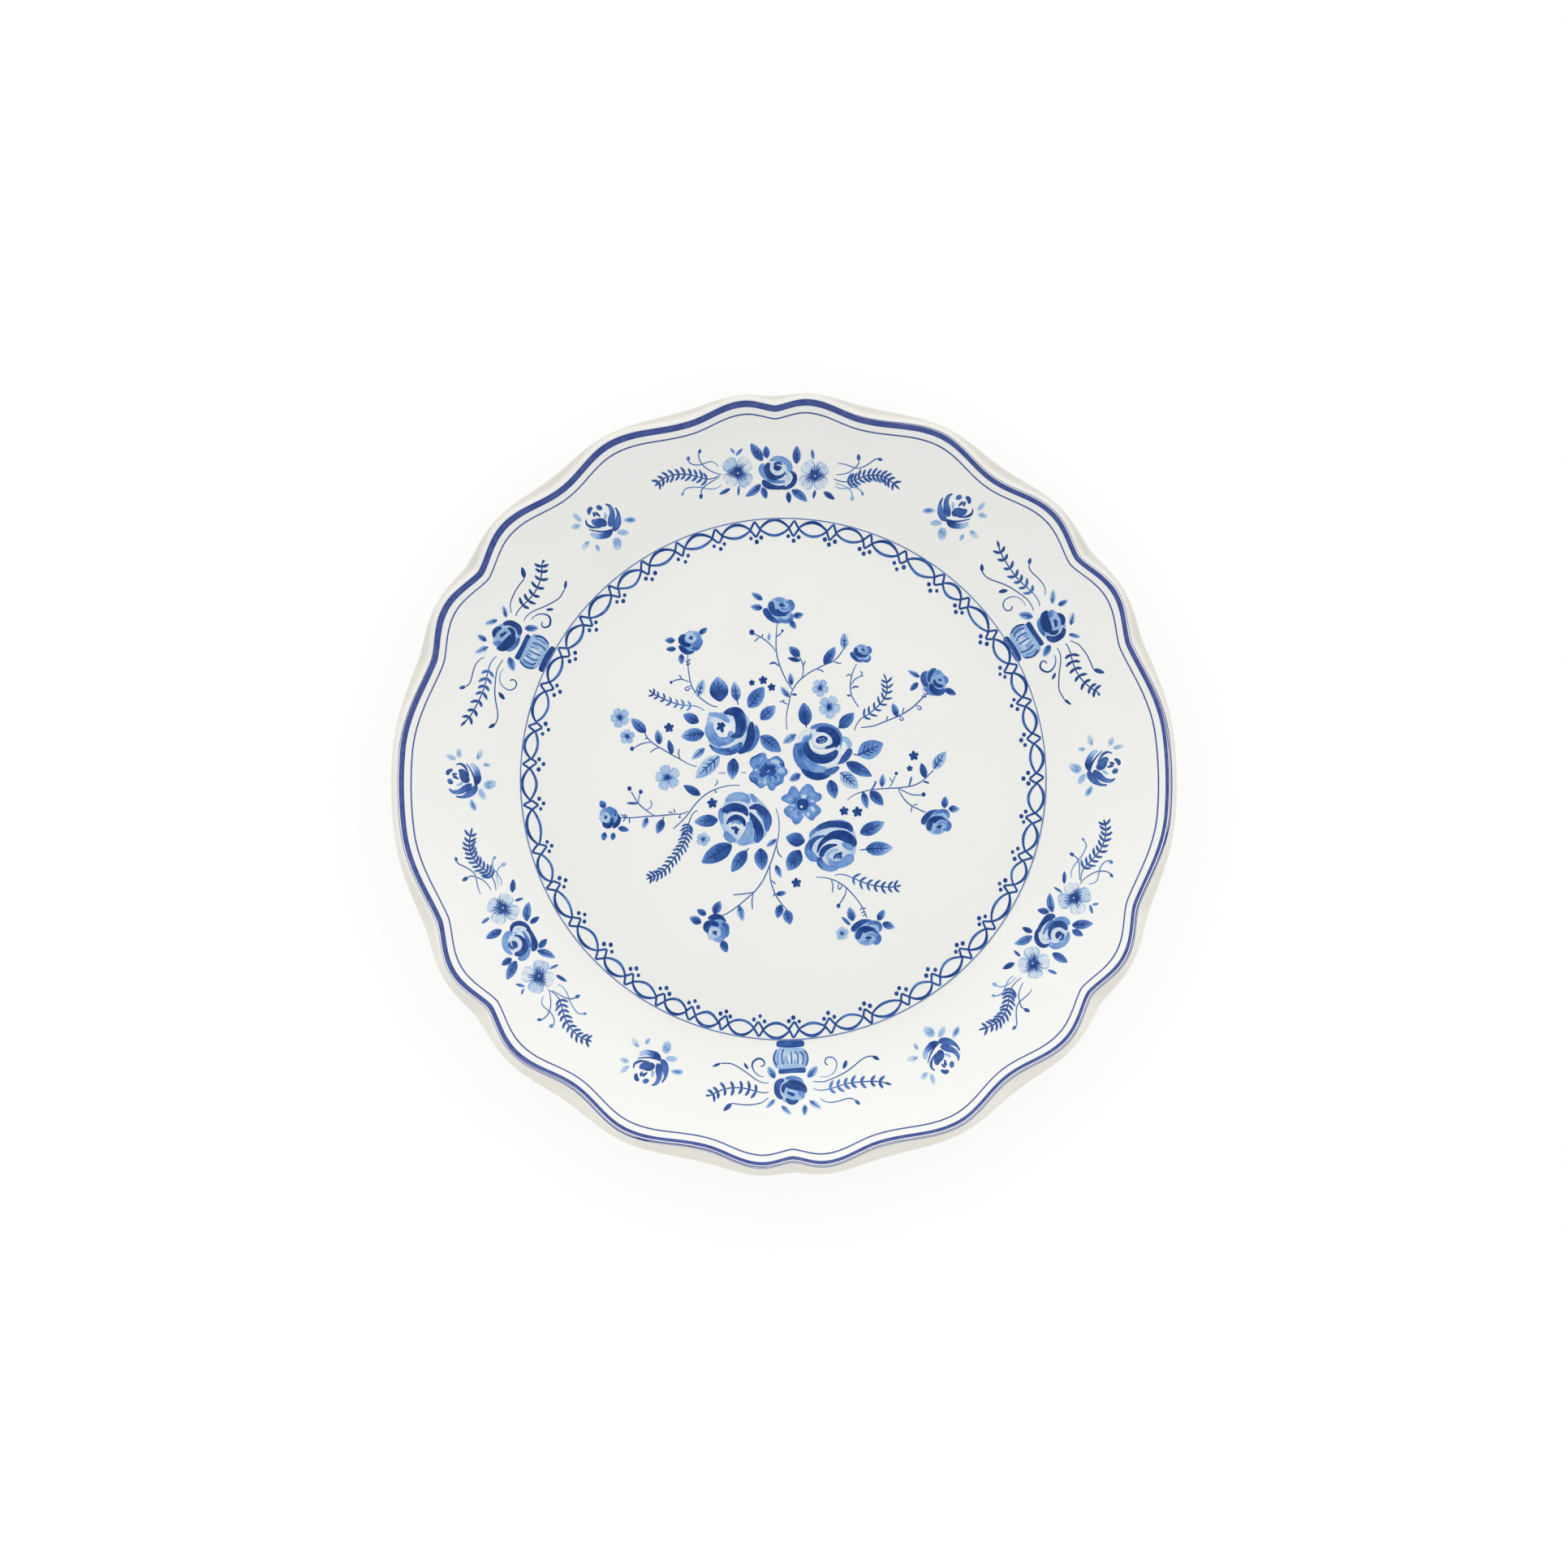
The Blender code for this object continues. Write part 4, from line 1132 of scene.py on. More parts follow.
def sprigs_upper_left(art):
    """The rose sprig, the fern and the budding sprig at the upper left."""
    lines(
        art,
        (-32.4, 46.2, -32.3, 42, -31.9, 38, -31.2, 35, -29.5, 32, -27, 29.7, -24.5, 28, -22.5, 27.5),
        (-32, 36.4, -34.5, 37.3, -36.8, 37.1, -38, 36.5),
        (-30, 6.9, -33, 8, -36, 9.8, -38.5, 11.2, -41, 12.8, -43.5, 14.3, -46, 16.3, -47.3, 17.9,
         -47.8, 19.4),
        (-45.5, 15.8, -48, 15.6, -50, 14.9, -51.8, 13.9),
        (-31.3, 34.8, -32.2, 34.8, -33.3, 34.4, -33.4, 33.7, -32.6, 33.5, -31.9, 34, -31.6, 34.2),
        (-32.3, 43.4, -31.4, 44.4),
        (-32.3, 43, -33.1, 43.8),
        (-32.3, 42, -31.5, 43.2),
        (-32.3, 42, -32.9, 42.8),
        (-34.4, 37.3, -35.5, 39),
        (-46.8, 17.2, -47.9, 17.1),
        (-43, 13.8, -44.5, 13.4, -46.2, 12.2),
        (-35.8, 9.8, -36.3, 11.5, -36, 13.3),
    )
    dots(art, (-38.3, 36.4, 1.2), (-52.4, 13.7, 1.7))
    fern(art, (
        -27, 26.2, -28.5, 27.4, -30.5, 28, -33.5, 28.3, -36.5, 28.9, -39.5, 30, -42.5, 31.5, -44.5, 32.6,
        -46, 34), 7, 2.3, (0.5, 0.55, 0.8, 1), first=0.3, last=0.86, width=0.85)
    leaves(
        art,
        (-28.3, 52.9, -25.3, 54.9, 1.9, 0.7),
        (-36.6, 50.9, -40.1, 51, 2.1, 0.65),
        (-36.3, 48, -39.8, 47.9, 1.8, 0.7),
        (-34.5, 46.2, -34.6, 42.6, 2.1, 0.6),
        (-47.5, 19.2, -52.4, 24.2, 3.4, (0.9, 0.65, 0.45)),
        (-42.8, 15, -43.4, 20.2, 2.5, (0.9, 0.6, 0.3)),
        (-38.5, 11.5, -39.6, 16.5, 2.1, 0.85),
    )
    art.place(-31.5, 50.3)
    sprig_rose_open(art)


def sprigs_top(art):
    """The tall rose sprig, the leafy branch and the sprig with a closed rose."""
    lines(
        art,
        (-1, 56.4, -1.4, 53, -1.6, 50, -1.6, 47, -1.2, 44, -0.2, 40.5, 0.6, 38.5, 2, 35.5, 3.6, 33),
        (1.5, 19, 1.3, 22, 1.6, 25, 2.3, 28, 3, 31, 4, 33.2, 6, 35.8, 9, 38.2, 12, 39.8, 15, 41.2,
         17.8, 42.3, 19.8, 43.9, 21.1, 45.6, 22, 47),
        (26.2, 41.3, 25.2, 39.5, 24.3, 37, 23.8, 34, 24, 31, 25, 28.6, 26.5, 26.3),
        (-1.6, 46, -3, 48, -5, 50, -7, 51.4, -8.8, 52.4, -9.5, 52.7),
        (7.1, 37, 7.6, 39, 7.6, 41, 7.1, 42.8, 6.3, 44.2),
        (18.2, 42.2, 19.4, 41.8, 20.9, 41.6),
        (2, 27.9, 0.9, 28.3, 0.2, 29, 1, 29.3),
        (12.3, 39.6, 13.5, 39.5, 14.7, 38.7),
        (24.1, 34, 25.5, 36, 27.4, 37),
        (-6.6, 50.9, -6.1, 52.5),
        (-7.3, 51.4, -9.2, 49.8),
        (-1.5, 51.3, -0.4, 52, 0.5, 53),
        (7.8, 41.3, 8.4, 42.8),
        (27.4, 37, 28.4, 37.1),
        (27.5, 37, 28, 38, 27.3, 38.7),
        (24.2, 37, 23.4, 37.7, 22.4, 37.1),
        (-0.8, 28.6, 0, 29.1),
    )
    paint(
        art,
        ((-0.6, 41, -1.6, 41.9, -2.6, 42.4, -4, 42), (0.3, 0.5, 0.7, 0.6), 0.85),
        ((3.3, 31.2, 4.3, 31.2, 5.2, 31), (0.3, 0.8, 0.6), 0.9),
        ((24.2, 32.8, 25.3, 33.4, 26.7, 33.3), (0.3, 0.6, 0.5), 0.85),
        ((24, 30.2, 23.2, 30.4, 22.5, 30.5), (0.4, 0.7, 0.5), 0.9),
    )
    dots(art, (-9.9, 53.1, 2.2), (0.7, 53.4, 1.1))
    leaves(
        art,
        (-6, 61.4, -10.2, 62.1, 2.2, (0.85, 0.6, 0.4)),
        (-5.9, 64.3, -9.7, 66.8, 2, (0.85, 0.6, 0.4)),
        (4.5, 58.3, 8.2, 58.9, 2.2, (0.9, 0.7, 0.4)),
        (3.4, 57, 5.3, 53.8, 2, (0.9, 0.7, 0.4)),
        (-4.1, 50, -3.8, 52.8, 1.1, 0.4),
        (22, 46.5, 22.2, 52.2, 2.9, 0.33),
        (14.9, 41.4, 18.9, 47.3, 3.2, (0.9, 0.7, 0.5)),
        (6.5, 44.3, 2.9, 47.8, 2.9, (0.95, 0.75, 0.5)),
        (6.7, 42.8, 2.3, 43.9, 1.5, 0.95),
        (3.4, 34.4, 3.1, 38.8, 1.9, (0.8, 0.5, 0.3)),
        (2.5, 30.3, -0.3, 34, 2, (0.5, 0.35)),
    )
    art.place(-0.6, 60.4, 180, 1.05, mirror=True)
    sprig_rose_swirl(art)
    art.place(27.6, 44.8, 180, 0.72, mirror=True)
    sprig_rose_swirl(art)


def sprigs_upper_right(art):
    """The tall fern, and the rose sprig that leans out to the right."""
    fern(art, (
        24.8, 18.2, 25.5, 20, 27, 22, 28.5, 23, 30.2, 24, 32, 25.5, 33.8, 27, 35.2, 28.8, 36.2, 30.5,
        36.5, 32.2, 36.5, 34, 36.2, 35.8, 35.4, 37.6), 8, 2.9, (0.85, 0.9, 0.85), first=0.24, last=0.86,
        width=0.9)
    lines(
        art,
        (27, 19.2, 29, 19.3, 32, 19.8, 35, 20.9, 38, 22, 40.5, 23, 43, 24.3, 45.5, 26, 48, 28.3, 49.5, 29.6,
         50.8, 30.8),
        width=0.46,
    )
    lines(
        art,
        (40.3, 22.5, 41.2, 22.6, 41.8, 21.9, 41.5, 21.3, 40.9, 21.5, 40.5, 22.1),
        (46.2, 26.2, 47.2, 26.2, 48.1, 25.7, 48, 25, 47.3, 25, 46.8, 25.6),
        (41.6, 23.7, 42.2, 25.8),
        (36, 21.3, 36.5, 23),
        (48.6, 28.6, 48.6, 30),
        (49.2, 29.3, 50.2, 29.2),
        (49.4, 29.7, 49.4, 30.8),
        (50, 30.2, 51, 30.2),
    )
    leaves(
        art,
        (39.8, 22.7, 38.3, 27.4, 2.3, (0.9, 0.65, 0.5)),
        (47.9, 36.2, 43.8, 38.7, 1.7, (0.8, 0.5, 0.3)),
        (47.3, 34.3, 44.5, 31.6, 2, 0.78),
        (56.5, 31.9, 60.4, 29.8, 2.2, (1, 0.8, 0.6)),
    )
    dot(art, 52.9, 34.5, 8.6, 0.35, pool=0.0)
    paint(
        art,
        ((50.4, 38.3, 49.4, 37, 49.2, 35.3, 50, 33.6, 51, 33.3),
         (0.6, 1.8, 2, 1.6, 0.6), (0.7, 0.8, 0.9, 0.85)),
        ((51.2, 34.2, 51.1, 35.8, 51.7, 37.4, 52.7, 38.5, 53.7, 39),
         (0.7, 1.3, 1.6, 1.5, 0.5), (0.95, 0.9, 0.8, 0.65)),
        ((53.2, 37.1, 54.3, 37.8, 55.5, 37.7), (0.8, 1.4, 0.8), 0.5),
        ((52.3, 36, 53.2, 36.9), 0.6, 0.4),
        ((56, 36.4, 57, 35.5, 57.1, 34.5, 56.5, 34), (0.6, 1.3, 1.4, 0.8), 0.6),
        ((49.2, 32.7, 49.4, 31.3), 0.6, 0.35),
        ((50.2, 32.8, 50.6, 31.4, 51.9, 30.4, 53.4, 29.9), (1.2, 1.5, 1.3, 0.5), 0.55),
        ((51.9, 34, 52, 32.6, 52.8, 31.3, 54.2, 30.7, 55.6, 31, 56.5, 32.2),
         (1, 1.8, 2.2, 2.3, 1.8, 0.8), (0.95, 1, 1, 0.9, 0.8, 0.7)),
        ((52.9, 35.4, 53.1, 34.1, 54, 33.2, 55.3, 32.9, 56, 33.2), (0.6, 1.1, 1.3, 1.1, 0.5), 1),
        ((54.3, 35.6, 54.8, 34.8, 55.2, 35.5), 0.45, 1),
        ((54.9, 35.6, 55.5, 34.6), 0.45, 1),
    )


def sprigs_right(art):
    """The branch that runs out to the right and forks down to a swirled rose."""
    lines(
        art,
        (21.8, -5.8, 23.5, -4.5, 26, -3.4, 29, -2.7, 32, -2.3, 36, -2.1, 40, -2, 44, -1.5, 46.5, -0.7,
         48.5, 0.6, 50.5, 2.5, 52, 3.8),
        (39.6, -2.2, 40.4, -4.2, 42, -6.5, 44, -8.3, 46.8, -9.8, 49, -10.8),
        (39.8, -2.2, 41.8, -3.4, 44, -4.4, 46.3, -4.7, 48, -4.6),
    )
    lines(
        art,
        (36.4, -1.8, 37.6, -0.2, 38.6, 2.2),
        (37.5, 0, 36.7, 1.6),
        (44.5, -8.1, 46.2, -7.9),
        (44.2, -8.3, 43.8, -10.6),
        width=0.36,
        tone=0.75,
    )
    paint(
        art,
        ((30, -2.6, 31.2, -1.2, 31.9, 0.6), (0.4, 0.6, 0.6), 0.9),
        ((43.3, -1.5, 43.8, 0, 44.3, 1.8), (0.4, 0.6, 0.6), 0.85),
        ((48.2, 0, 49.5, -0.3, 50.3, -0.8), (0.4, 0.7, 0.5), 0.9),
    )
    dots(art, (39, 3, 1.4), (48.3, -4.5, 1.7))
    leaves(
        art,
        (52, 4.2, 56.3, 10.2, 3.7, 0.35),
        (49, 1.2, 47.8, 6.4, 2.4, 0.9),
        (33.9, -1.6, 34.4, 3, 2, (0.8, 0.5, 0.35)),
        (27.3, -3.1, 28.6, -9, 2.4, (0.8, 0.65, 0.5)),
        (29.8, -2.9, 34.2, -7.9, 3.6, (0.95, 0.75, 0.6)),
        (55.4, -9.4, 55.8, -5.3, 2.4, (1, 0.7, 0.4)),
        (56.8, -9.6, 60.7, -10, 2.4, (0.95, 0.6, 0.3)),
    )
    art.place(52.2, -14)
    sprig_rose_swirl(art)


def sprigs_lower_left(art):
    """The branch to the left with an open rose, and the dense fern below it."""
    lines(
        art,
        (-15.3, 0.1, -18, 0.2, -21, -0.2, -24, -1.1, -27, -2.6, -29.5, -4.6, -31.5, -6.8, -33.5, -9.4,
         -35.5, -11.6, -38.7, -14.4),
        (-33.2, -8.4, -35.5, -9.2, -39, -9.4, -43, -9.7, -48, -9.9, -53, -10.2, -56.8, -10.1),
        (-45.3, -9.6, -47.5, -8.1, -49.2, -6.7, -50.7, -5.2, -52, -3, -53, -1.1),
    )
    lines(
        art,
        (-23.5, 2.3, -22.9, 1.4, -23.8, 0.5, -24, 0),
        (-23.4, -0.6, -24, -2, -23, -1.9),
        (-50.6, -5, -50.4, -3.5, -50, -2),
        (-48, -7.6, -46.6, -7, -46, -5.8, -46.4, -4.2),
        width=0.36,
        tone=0.6,
    )
    lines(
        art,
        (-36, -9.2, -36.6, -10.6, -36, -10.5),
        (-38, -9, -38.3, -7.4),
        (-38.6, -9, -40.3, -8.4),
        (-55, -10.1, -56.8, -8.9),
        (-55, -10.1, -56.2, -11.5),
        (-54.5, -10, -55.6, -8.9),
        (-53.9, -10.2, -53.8, -12.1),
        (-41.8, -10, -42.4, -11.2),
    )
    paint(art, ((-50.8, -5.3, -52.5, -5.2, -54.6, -5.1), (0.4, 0.9, 0.5), 0.85))
    dots(art, (-53.6, -0.1, 1.8), (-49.7, -1.3, 1.7))
    leaves(
        art,
        (-47.6, -10.3, -49.3, -14, 2, (0.65, 0.3)),
        (-42.2, -11, -44.4, -15.9, 2.8, (1, 0.7, 0.5)),
        (-59.4, -15.2, -60, -18, 1.8, (0.9, 0.5)),
        (-62.4, -15, -63.2, -18, 2, (0.9, 0.5)),
        (-57.8, -13.6, -54, -14.6, 2, (0.9, 0.5)),
        (-62.2, -6.6, -63.8, -4, 2.4, (0.9, 0.5)),
    )
    fern(art, (
        -30.2, -8.2, -31.5, -9, -32.5, -10.4, -33.2, -12.3, -33.8, -14, -34, -16, -34.8, -18.5, -36, -21,
        -37.8, -23.5, -39.8, -26, -42, -28.5, -44, -30, -46.2, -30.7, -48.5, -31.7), 17, 2.8,
        (0.8, 0.9, 0.95), first=0.26, last=0.94, width=0.9)
    art.place(-60.8, -10.2, 90, 0.9)
    sprig_rose_open(art)


def sprigs_bottom(art):
    """The long stems that run down to an open rose and a swirled one, and the fern between them."""
    lines(
        art,
        (-3, -8.2, -2.2, -11, -2, -14, -2.3, -17.5, -3.2, -21, -4.3, -24.5, -5.7, -28, -7.5, -32, -9.5, -35,
         -11.3, -37, -14, -39.3, -17, -41.7, -20, -43.7, -22.5, -44.9),
        (-5.5, -27, -5.6, -30, -5.4, -33, -4.6, -36, -3.6, -38.5, -2, -41, 0, -43.4),
        (10.3, -32.3, 13, -32.5, 15.5, -33.1, 18, -34.2, 20.5, -36, 22.8, -38.4, 24.8, -41, 26.4, -43.6,
         27.7, -46.8),
        (20.8, -36.4, 20.3, -38.5, 19.3, -40.3, 18.2, -41.8),
        (-3, -21, -2.6, -23.5, -1.3, -25.2),
        (-11.5, -37, -14, -37.4, -18.6, -37.8),
        (-11.5, -37.3, -12, -40, -11.9, -43),
        (15.6, -33.3, 16.1, -35.3, 15.8, -37.8),
        (18.4, -34.3, 17.9, -35.6, 18.2, -36.6, 18.9, -36.3, 19.2, -35.2),
        (-5.2, -33, -3.6, -34.4),
        (-4, -37.2, -4.6, -38.7),
        (26.5, -43.4, 27.5, -43.6),
        (26.2, -43, 25.3, -44.2),
        (26.9, -44.5, 25.7, -45.2),
        (27.2, -45.5, 26.2, -46.2),
    )
    dots(art, (17.9, -42.4, 1.7))
    leaves(
        art,
        (-16.5, -41.5, -15.5, -47, 2.4, (0.6, 0.4, 0.3)),
        (-25.3, -44.2, -23, -39.8, 3, (0.85, 0.65, 0.5)),
        (-28, -44.5, -31.2, -42.5, 2.2, (0.85, 0.6)),
        (-29.8, -47.2, -33.7, -45.2, 2.8, (0.85, 0.6)),
        (-22.8, -53.4, -21.2, -57.7, 2.8, (0.85, 0.6)),
        (22.8, -47.8, 21.6, -42.9, 2.8, (0.9, 0.6, 0.45)),
        (21.9, -49.2, 18.9, -46.2, 1.3, 0.8),
        (31.4, -47.8, 33.8, -44.1, 2.4, (1, 0.7, 0.4)),
        (33, -48.8, 37.2, -50.5, 2.6, (1, 0.7, 0.3)),
    )
    fern(art, (
        16.8, -31.8, 18.5, -31.5, 20.5, -31.8, 23, -32.8, 26, -34.2, 29, -35.3, 32, -36, 35, -36.3,
        37.5, -36.3, 39.8, -35.8), 7, 3, (0.6, 0.8, 1), first=0.34, last=0.88, width=1.0)
    art.place(-24.7, -49.2, 147, 1.1, mirror=True)
    sprig_rose_open(art)
    art.place(27.2, -51.6, -14, 1.05)
    sprig_rose_swirl(art)


BOUQUET = (
    ("sprigs_upper_left", sprigs_upper_left),
    ("sprigs_top", sprigs_top),
    ("sprigs_upper_right", sprigs_upper_right),
    ("sprigs_right", sprigs_right),
    ("sprigs_lower_left", sprigs_lower_left),
    ("sprigs_bottom", sprigs_bottom),
    ("rose_upper_left", rose_upper_left),
    ("rose_upper_right", rose_upper_right),
    ("rose_lower_left", rose_lower_left),
    ("rose_lower_right", rose_lower_right),
    ("open_flowers", open_flowers),
)


def bouquet(material):
    """The bouquet's pieces in their painted order, each laid over the ones before it."""
    laid = []
    for name, motif in BOUQUET:
        art = Print("print_" + name, laid)
        motif(art)
        art.make(material)


# ---------------------------------------------------------------- materials
BARE_GLAZE = (0.835, 0.842, 0.812)
INK_TONES = (
    (0.0, BARE_GLAZE),
    (0.25, (0.320, 0.485, 0.710)),
    (0.5, (0.105, 0.235, 0.550)),
    (0.75, (0.034, 0.096, 0.330)),
    (1.0, (0.008, 0.040, 0.190)),
)
BAND_TONES = (
    (0.0, BARE_GLAZE),
    (0.5, (0.150, 0.200, 0.430)),
    (1.0, (0.030, 0.056, 0.255)),
)
LIP_SHADE_SPAN = (-100.0, 80.0)  # painted shade: the lip's cream darkens between these places along Y, towards +Y
GLAZE_ROUGHNESS = 0.09
BISCUIT_ROUGHNESS = 0.75
GLAZE_IOR = 1.5
GLAZE_SHINE = 0.5
PRINT_SHINE = 0.18  # weaker, so that the dark ink stays deep under the pale tent
WAVE_HEIGHT = 0.02


class Nodes:
    """Short names for building a material's nodes."""

    def __init__(self, name):
        self.material = bpy.data.materials.new(name)
        self.material.use_nodes = True
        self.tree = self.material.node_tree
        self.shader = self.tree.nodes["Principled BSDF"]
        self.object = self.tree.nodes.new("ShaderNodeTexCoord").outputs["Object"]

    def link(self, output, socket):
        self.tree.links.new(output, socket)

    def attribute(self, name):
        node = self.tree.nodes.new("ShaderNodeAttribute")
        node.attribute_name = name
        return node.outputs["Fac"]

    def noise(self, per_mm, detail=2.0, roughness=0.5):
        node = self.tree.nodes.new("ShaderNodeTexNoise")
        node.inputs["Scale"].default_value = per_mm / MM
        node.inputs["Detail"].default_value = detail
        node.inputs["Roughness"].default_value = roughness
        self.link(self.object, node.inputs["Vector"])
        return node.outputs["Fac"]

    def math(self, operation, first, second, clamp=False):
        node = self.tree.nodes.new("ShaderNodeMath")
        node.operation = operation
        node.use_clamp = clamp
        for socket, value in zip(node.inputs, (first, second)):
            if isinstance(value, float):
                socket.default_value = value
            else:
                self.link(value, socket)
        return node.outputs[0]

    def spread(self, value, low, high, to_low=0.0, to_high=1.0):
        node = self.tree.nodes.new("ShaderNodeMapRange")
        self.link(value, node.inputs["Value"])
        for socket, number in zip(list(node.inputs)[1:5], (low, high, to_low, to_high)):
            socket.default_value = number
        return node.outputs["Result"]

    def ramp(self, value, stops):
        node = self.tree.nodes.new("ShaderNodeValToRGB")
        band = node.color_ramp
        while len(band.elements) < len(stops):
            band.elements.new(0.5)
        for element, (place, colour) in zip(band.elements, stops):
            element.position = place
            element.color = (*colour, 1.0)
        self.link(value, node.inputs["Fac"])
        return node.outputs["Color"]

    def mix(self, share, first, second):
        """Two colours, each given or linked, mixed by a linked share."""
        node = self.tree.nodes.new("ShaderNodeMix")
        node.data_type = "RGBA"
        for number, value in ((0, share), (6, first), (7, second)):
            if isinstance(value, tuple):
                node.inputs[number].default_value = (*value, 1.0)
            else:
                self.link(value, node.inputs[number])
        return node.outputs[2]

    def gloss(self, shine):
        """The clear glaze's shine, with the slight waviness that it dries with."""
        self.shader.inputs["Roughness"].default_value = GLAZE_ROUGHNESS
        self.shader.inputs["IOR"].default_value = GLAZE_IOR
        self.shader.inputs["Specular IOR Level"].default_value = shine
        waviness = self.noise(0.08, 3.0)
        bump = self.tree.nodes.new("ShaderNodeBump")
        bump.inputs["Strength"].default_value = 0.25
        bump.inputs["Distance"].default_value = WAVE_HEIGHT * MM
        self.link(waviness, bump.inputs["Height"])
        self.link(bump.outputs["Normal"], self.shader.inputs["Normal"])


def china_glaze():
    """White china under clear glaze: creamier over the lip and below, with painted shade there that darkens
    towards +Y; bare biscuit on the foot.
    """
    nodes = Nodes("china_glaze")
    cloud = nodes.spread(nodes.noise(0.02, 3.0), 0.3, 0.7)
    white = nodes.mix(cloud, (0.828, 0.834, 0.803), (0.842, 0.849, 0.820))
    split = nodes.tree.nodes.new("ShaderNodeSeparateXYZ")
    nodes.link(nodes.object, split.inputs[0])
    # Painted shade: the lip's cream darkens from its light end towards -Y to a deep one towards +Y.
    deeper = nodes.spread(split.outputs["Y"], LIP_SHADE_SPAN[0] * MM, LIP_SHADE_SPAN[1] * MM)
    lip = nodes.mix(deeper, (0.815, 0.790, 0.715), (0.620, 0.598, 0.540))
    # The white glaze turns to that cream, with its painted shade, over the outside.
    cream = nodes.mix(nodes.attribute("cream_and_shade"), white, lip)
    speck = nodes.spread(nodes.noise(0.9, 1.0), 0.80, 0.84)
    specked = nodes.mix(nodes.math("MULTIPLY", speck, 0.25), cream, (0.42, 0.36, 0.28))
    biscuit = nodes.mix(nodes.noise(1.5, 4.0), (0.60, 0.56, 0.48), (0.74, 0.70, 0.62))
    colour = nodes.mix(nodes.attribute("bare"), specked, biscuit)
    nodes.link(colour, nodes.shader.inputs["Base Color"])
    nodes.gloss(GLAZE_SHINE)
    rough = nodes.spread(nodes.attribute("bare"), 0.0, 1.0, GLAZE_ROUGHNESS, BISCUIT_ROUGHNESS)
    nodes.link(rough, nodes.shader.inputs["Roughness"])
    return nodes.material


def cobalt_print(name, tones, grain, pinholes=0.0):
    """Printed cobalt under the glaze: the stroke's tone, grained, mottled and perhaps pinholed."""
    nodes = Nodes(name)
    fine = nodes.spread(nodes.noise(4.0, 3.0, 0.7), 0.25, 0.75, 1.0 - grain, 1.0 + grain)
    broad = nodes.spread(nodes.noise(0.35), 0.3, 0.7, 1.0 - grain, 1.0 + grain * 0.7)
    grained = nodes.math("MULTIPLY", nodes.attribute("ink"), fine)
    tone = nodes.math("MULTIPLY", grained, broad, clamp=True)
    if pinholes:
        hole = nodes.spread(nodes.noise(2.2, 2.0, 0.6), 0.69, 0.74, 0.0, pinholes)
        tone = nodes.math("SUBTRACT", tone, nodes.math("MULTIPLY", hole, tone), clamp=True)
    nodes.link(nodes.ramp(tone, tones), nodes.shader.inputs["Base Color"])
    nodes.gloss(PRINT_SHINE)
    return nodes.material


# ---------------------------------------------------------------- bands and border
RIM_BAND = (-2.35, 0.15)  # each painted line lies between two distances from the crest
RIM_LINE = (-5.32, -4.9)
BAND_INK = (0.0, 1.0, 0.92, 0.88, 0.92, 1.0, 0.0)  # tone across a line, darker towards its sides
BAND_SOFT = 0.12  # soft edge of a line
BAND_DEPTH = 0.3  # how far its underside lies inside the body
BAND_WANDER = (0.3, -0.55)  # how much farther out the lines sit towards +X and towards +Y


def loop_from_crest():
    """The section as arc length from the crest: negative on the upper face, positive on the wall."""
    loop = np.array(UPPER + LOWER)
    lengths = np.concatenate([[0.0], np.cumsum(np.hypot(*np.diff(loop, axis=0).T))])
    return lengths - lengths[len(UPPER) - 1], loop[:, 0], loop[:, 1]


def edge_band(name, inner, outer, material):
    """A painted line that runs all round the rim, between two distances from the crest."""
    lengths, radii, heights = loop_from_crest()
    at = np.concatenate([[inner - BAND_SOFT], np.linspace(inner, outer, 5), [outer + BAND_SOFT]])
    angles = np.linspace(0.0, 2 * math.pi, TURN_STEPS, endpoint=False)

    def place(shift, turn=0.0):
        along, angle = np.meshgrid(at + shift, angles + turn)
        along = along + BAND_WANDER[0] * np.cos(angle) + BAND_WANDER[1] * np.sin(angle)
        radius, height = np.interp(along, lengths, radii), np.interp(along, lengths, heights)
        return np.stack(shaped(radius, height, angle), -1)

    points = place(0.0)
    normals = np.cross(place(0.05) - place(-0.05), place(0.0, 0.002) - place(0.0, -0.002))
    normals /= np.linalg.norm(normals, axis=-1, keepdims=True)
    sunk = (points - normals * BAND_DEPTH)[:, (-1, 0)]
    ring = np.concatenate([points + normals * PRINT_TOP, sunk], axis=1)
    width = ring.shape[1]
    faces = []
    for turn in range(TURN_STEPS):
        here, there = turn * width, (turn + 1) % TURN_STEPS * width
        for i in range(width):
            ahead = (i + 1) % width
            faces.append((here + i, here + ahead, there + ahead, there + i))
    normals = np.concatenate([normals, normals[:, (-1, 0)]], axis=1).reshape(-1, 3)
    ink = np.tile(BAND_INK + (0.0, 0.0), TURN_STEPS)
    mesh_piece(name, ring.reshape(-1, 3), faces, material, {"ink": ink}, normals)


BORDER_CENTRE = (-0.2, 2.0)
BORDER_RADII = (91.1, 90.4)
BORDER_LINKS = 41
LINE_WIDTH = 0.32
LINE_TONE = 0.76
LINE_ARC = 12  # degrees round the well in each stroke of its line
LINE_OVERLAP = 0.3
FIRST_LINK = -1.3  # degrees
LINK_WANDER = 0.55
LINK_SHIFT = (4.6, 217.0, 36.0)  # links shift this far on round this angle, within this spread
LINK_DEPTH = 3.5  # where a link's degrees are measured, in from the line
DOT_TRIO = ((-1.85, 6.2), (1.85, 6.2), (0.0, 7.6))  # millimetres aside of the diamond and inwards


def border_place(across, down):
    """Border coordinates: degrees round from +X, and millimetres in from the well line."""
    angle = np.radians(across)
    x = BORDER_CENTRE[0] + (BORDER_RADII[0] - down) * np.cos(angle)
    return x, BORDER_CENTRE[1] + (BORDER_RADII[1] - down) * np.sin(angle)


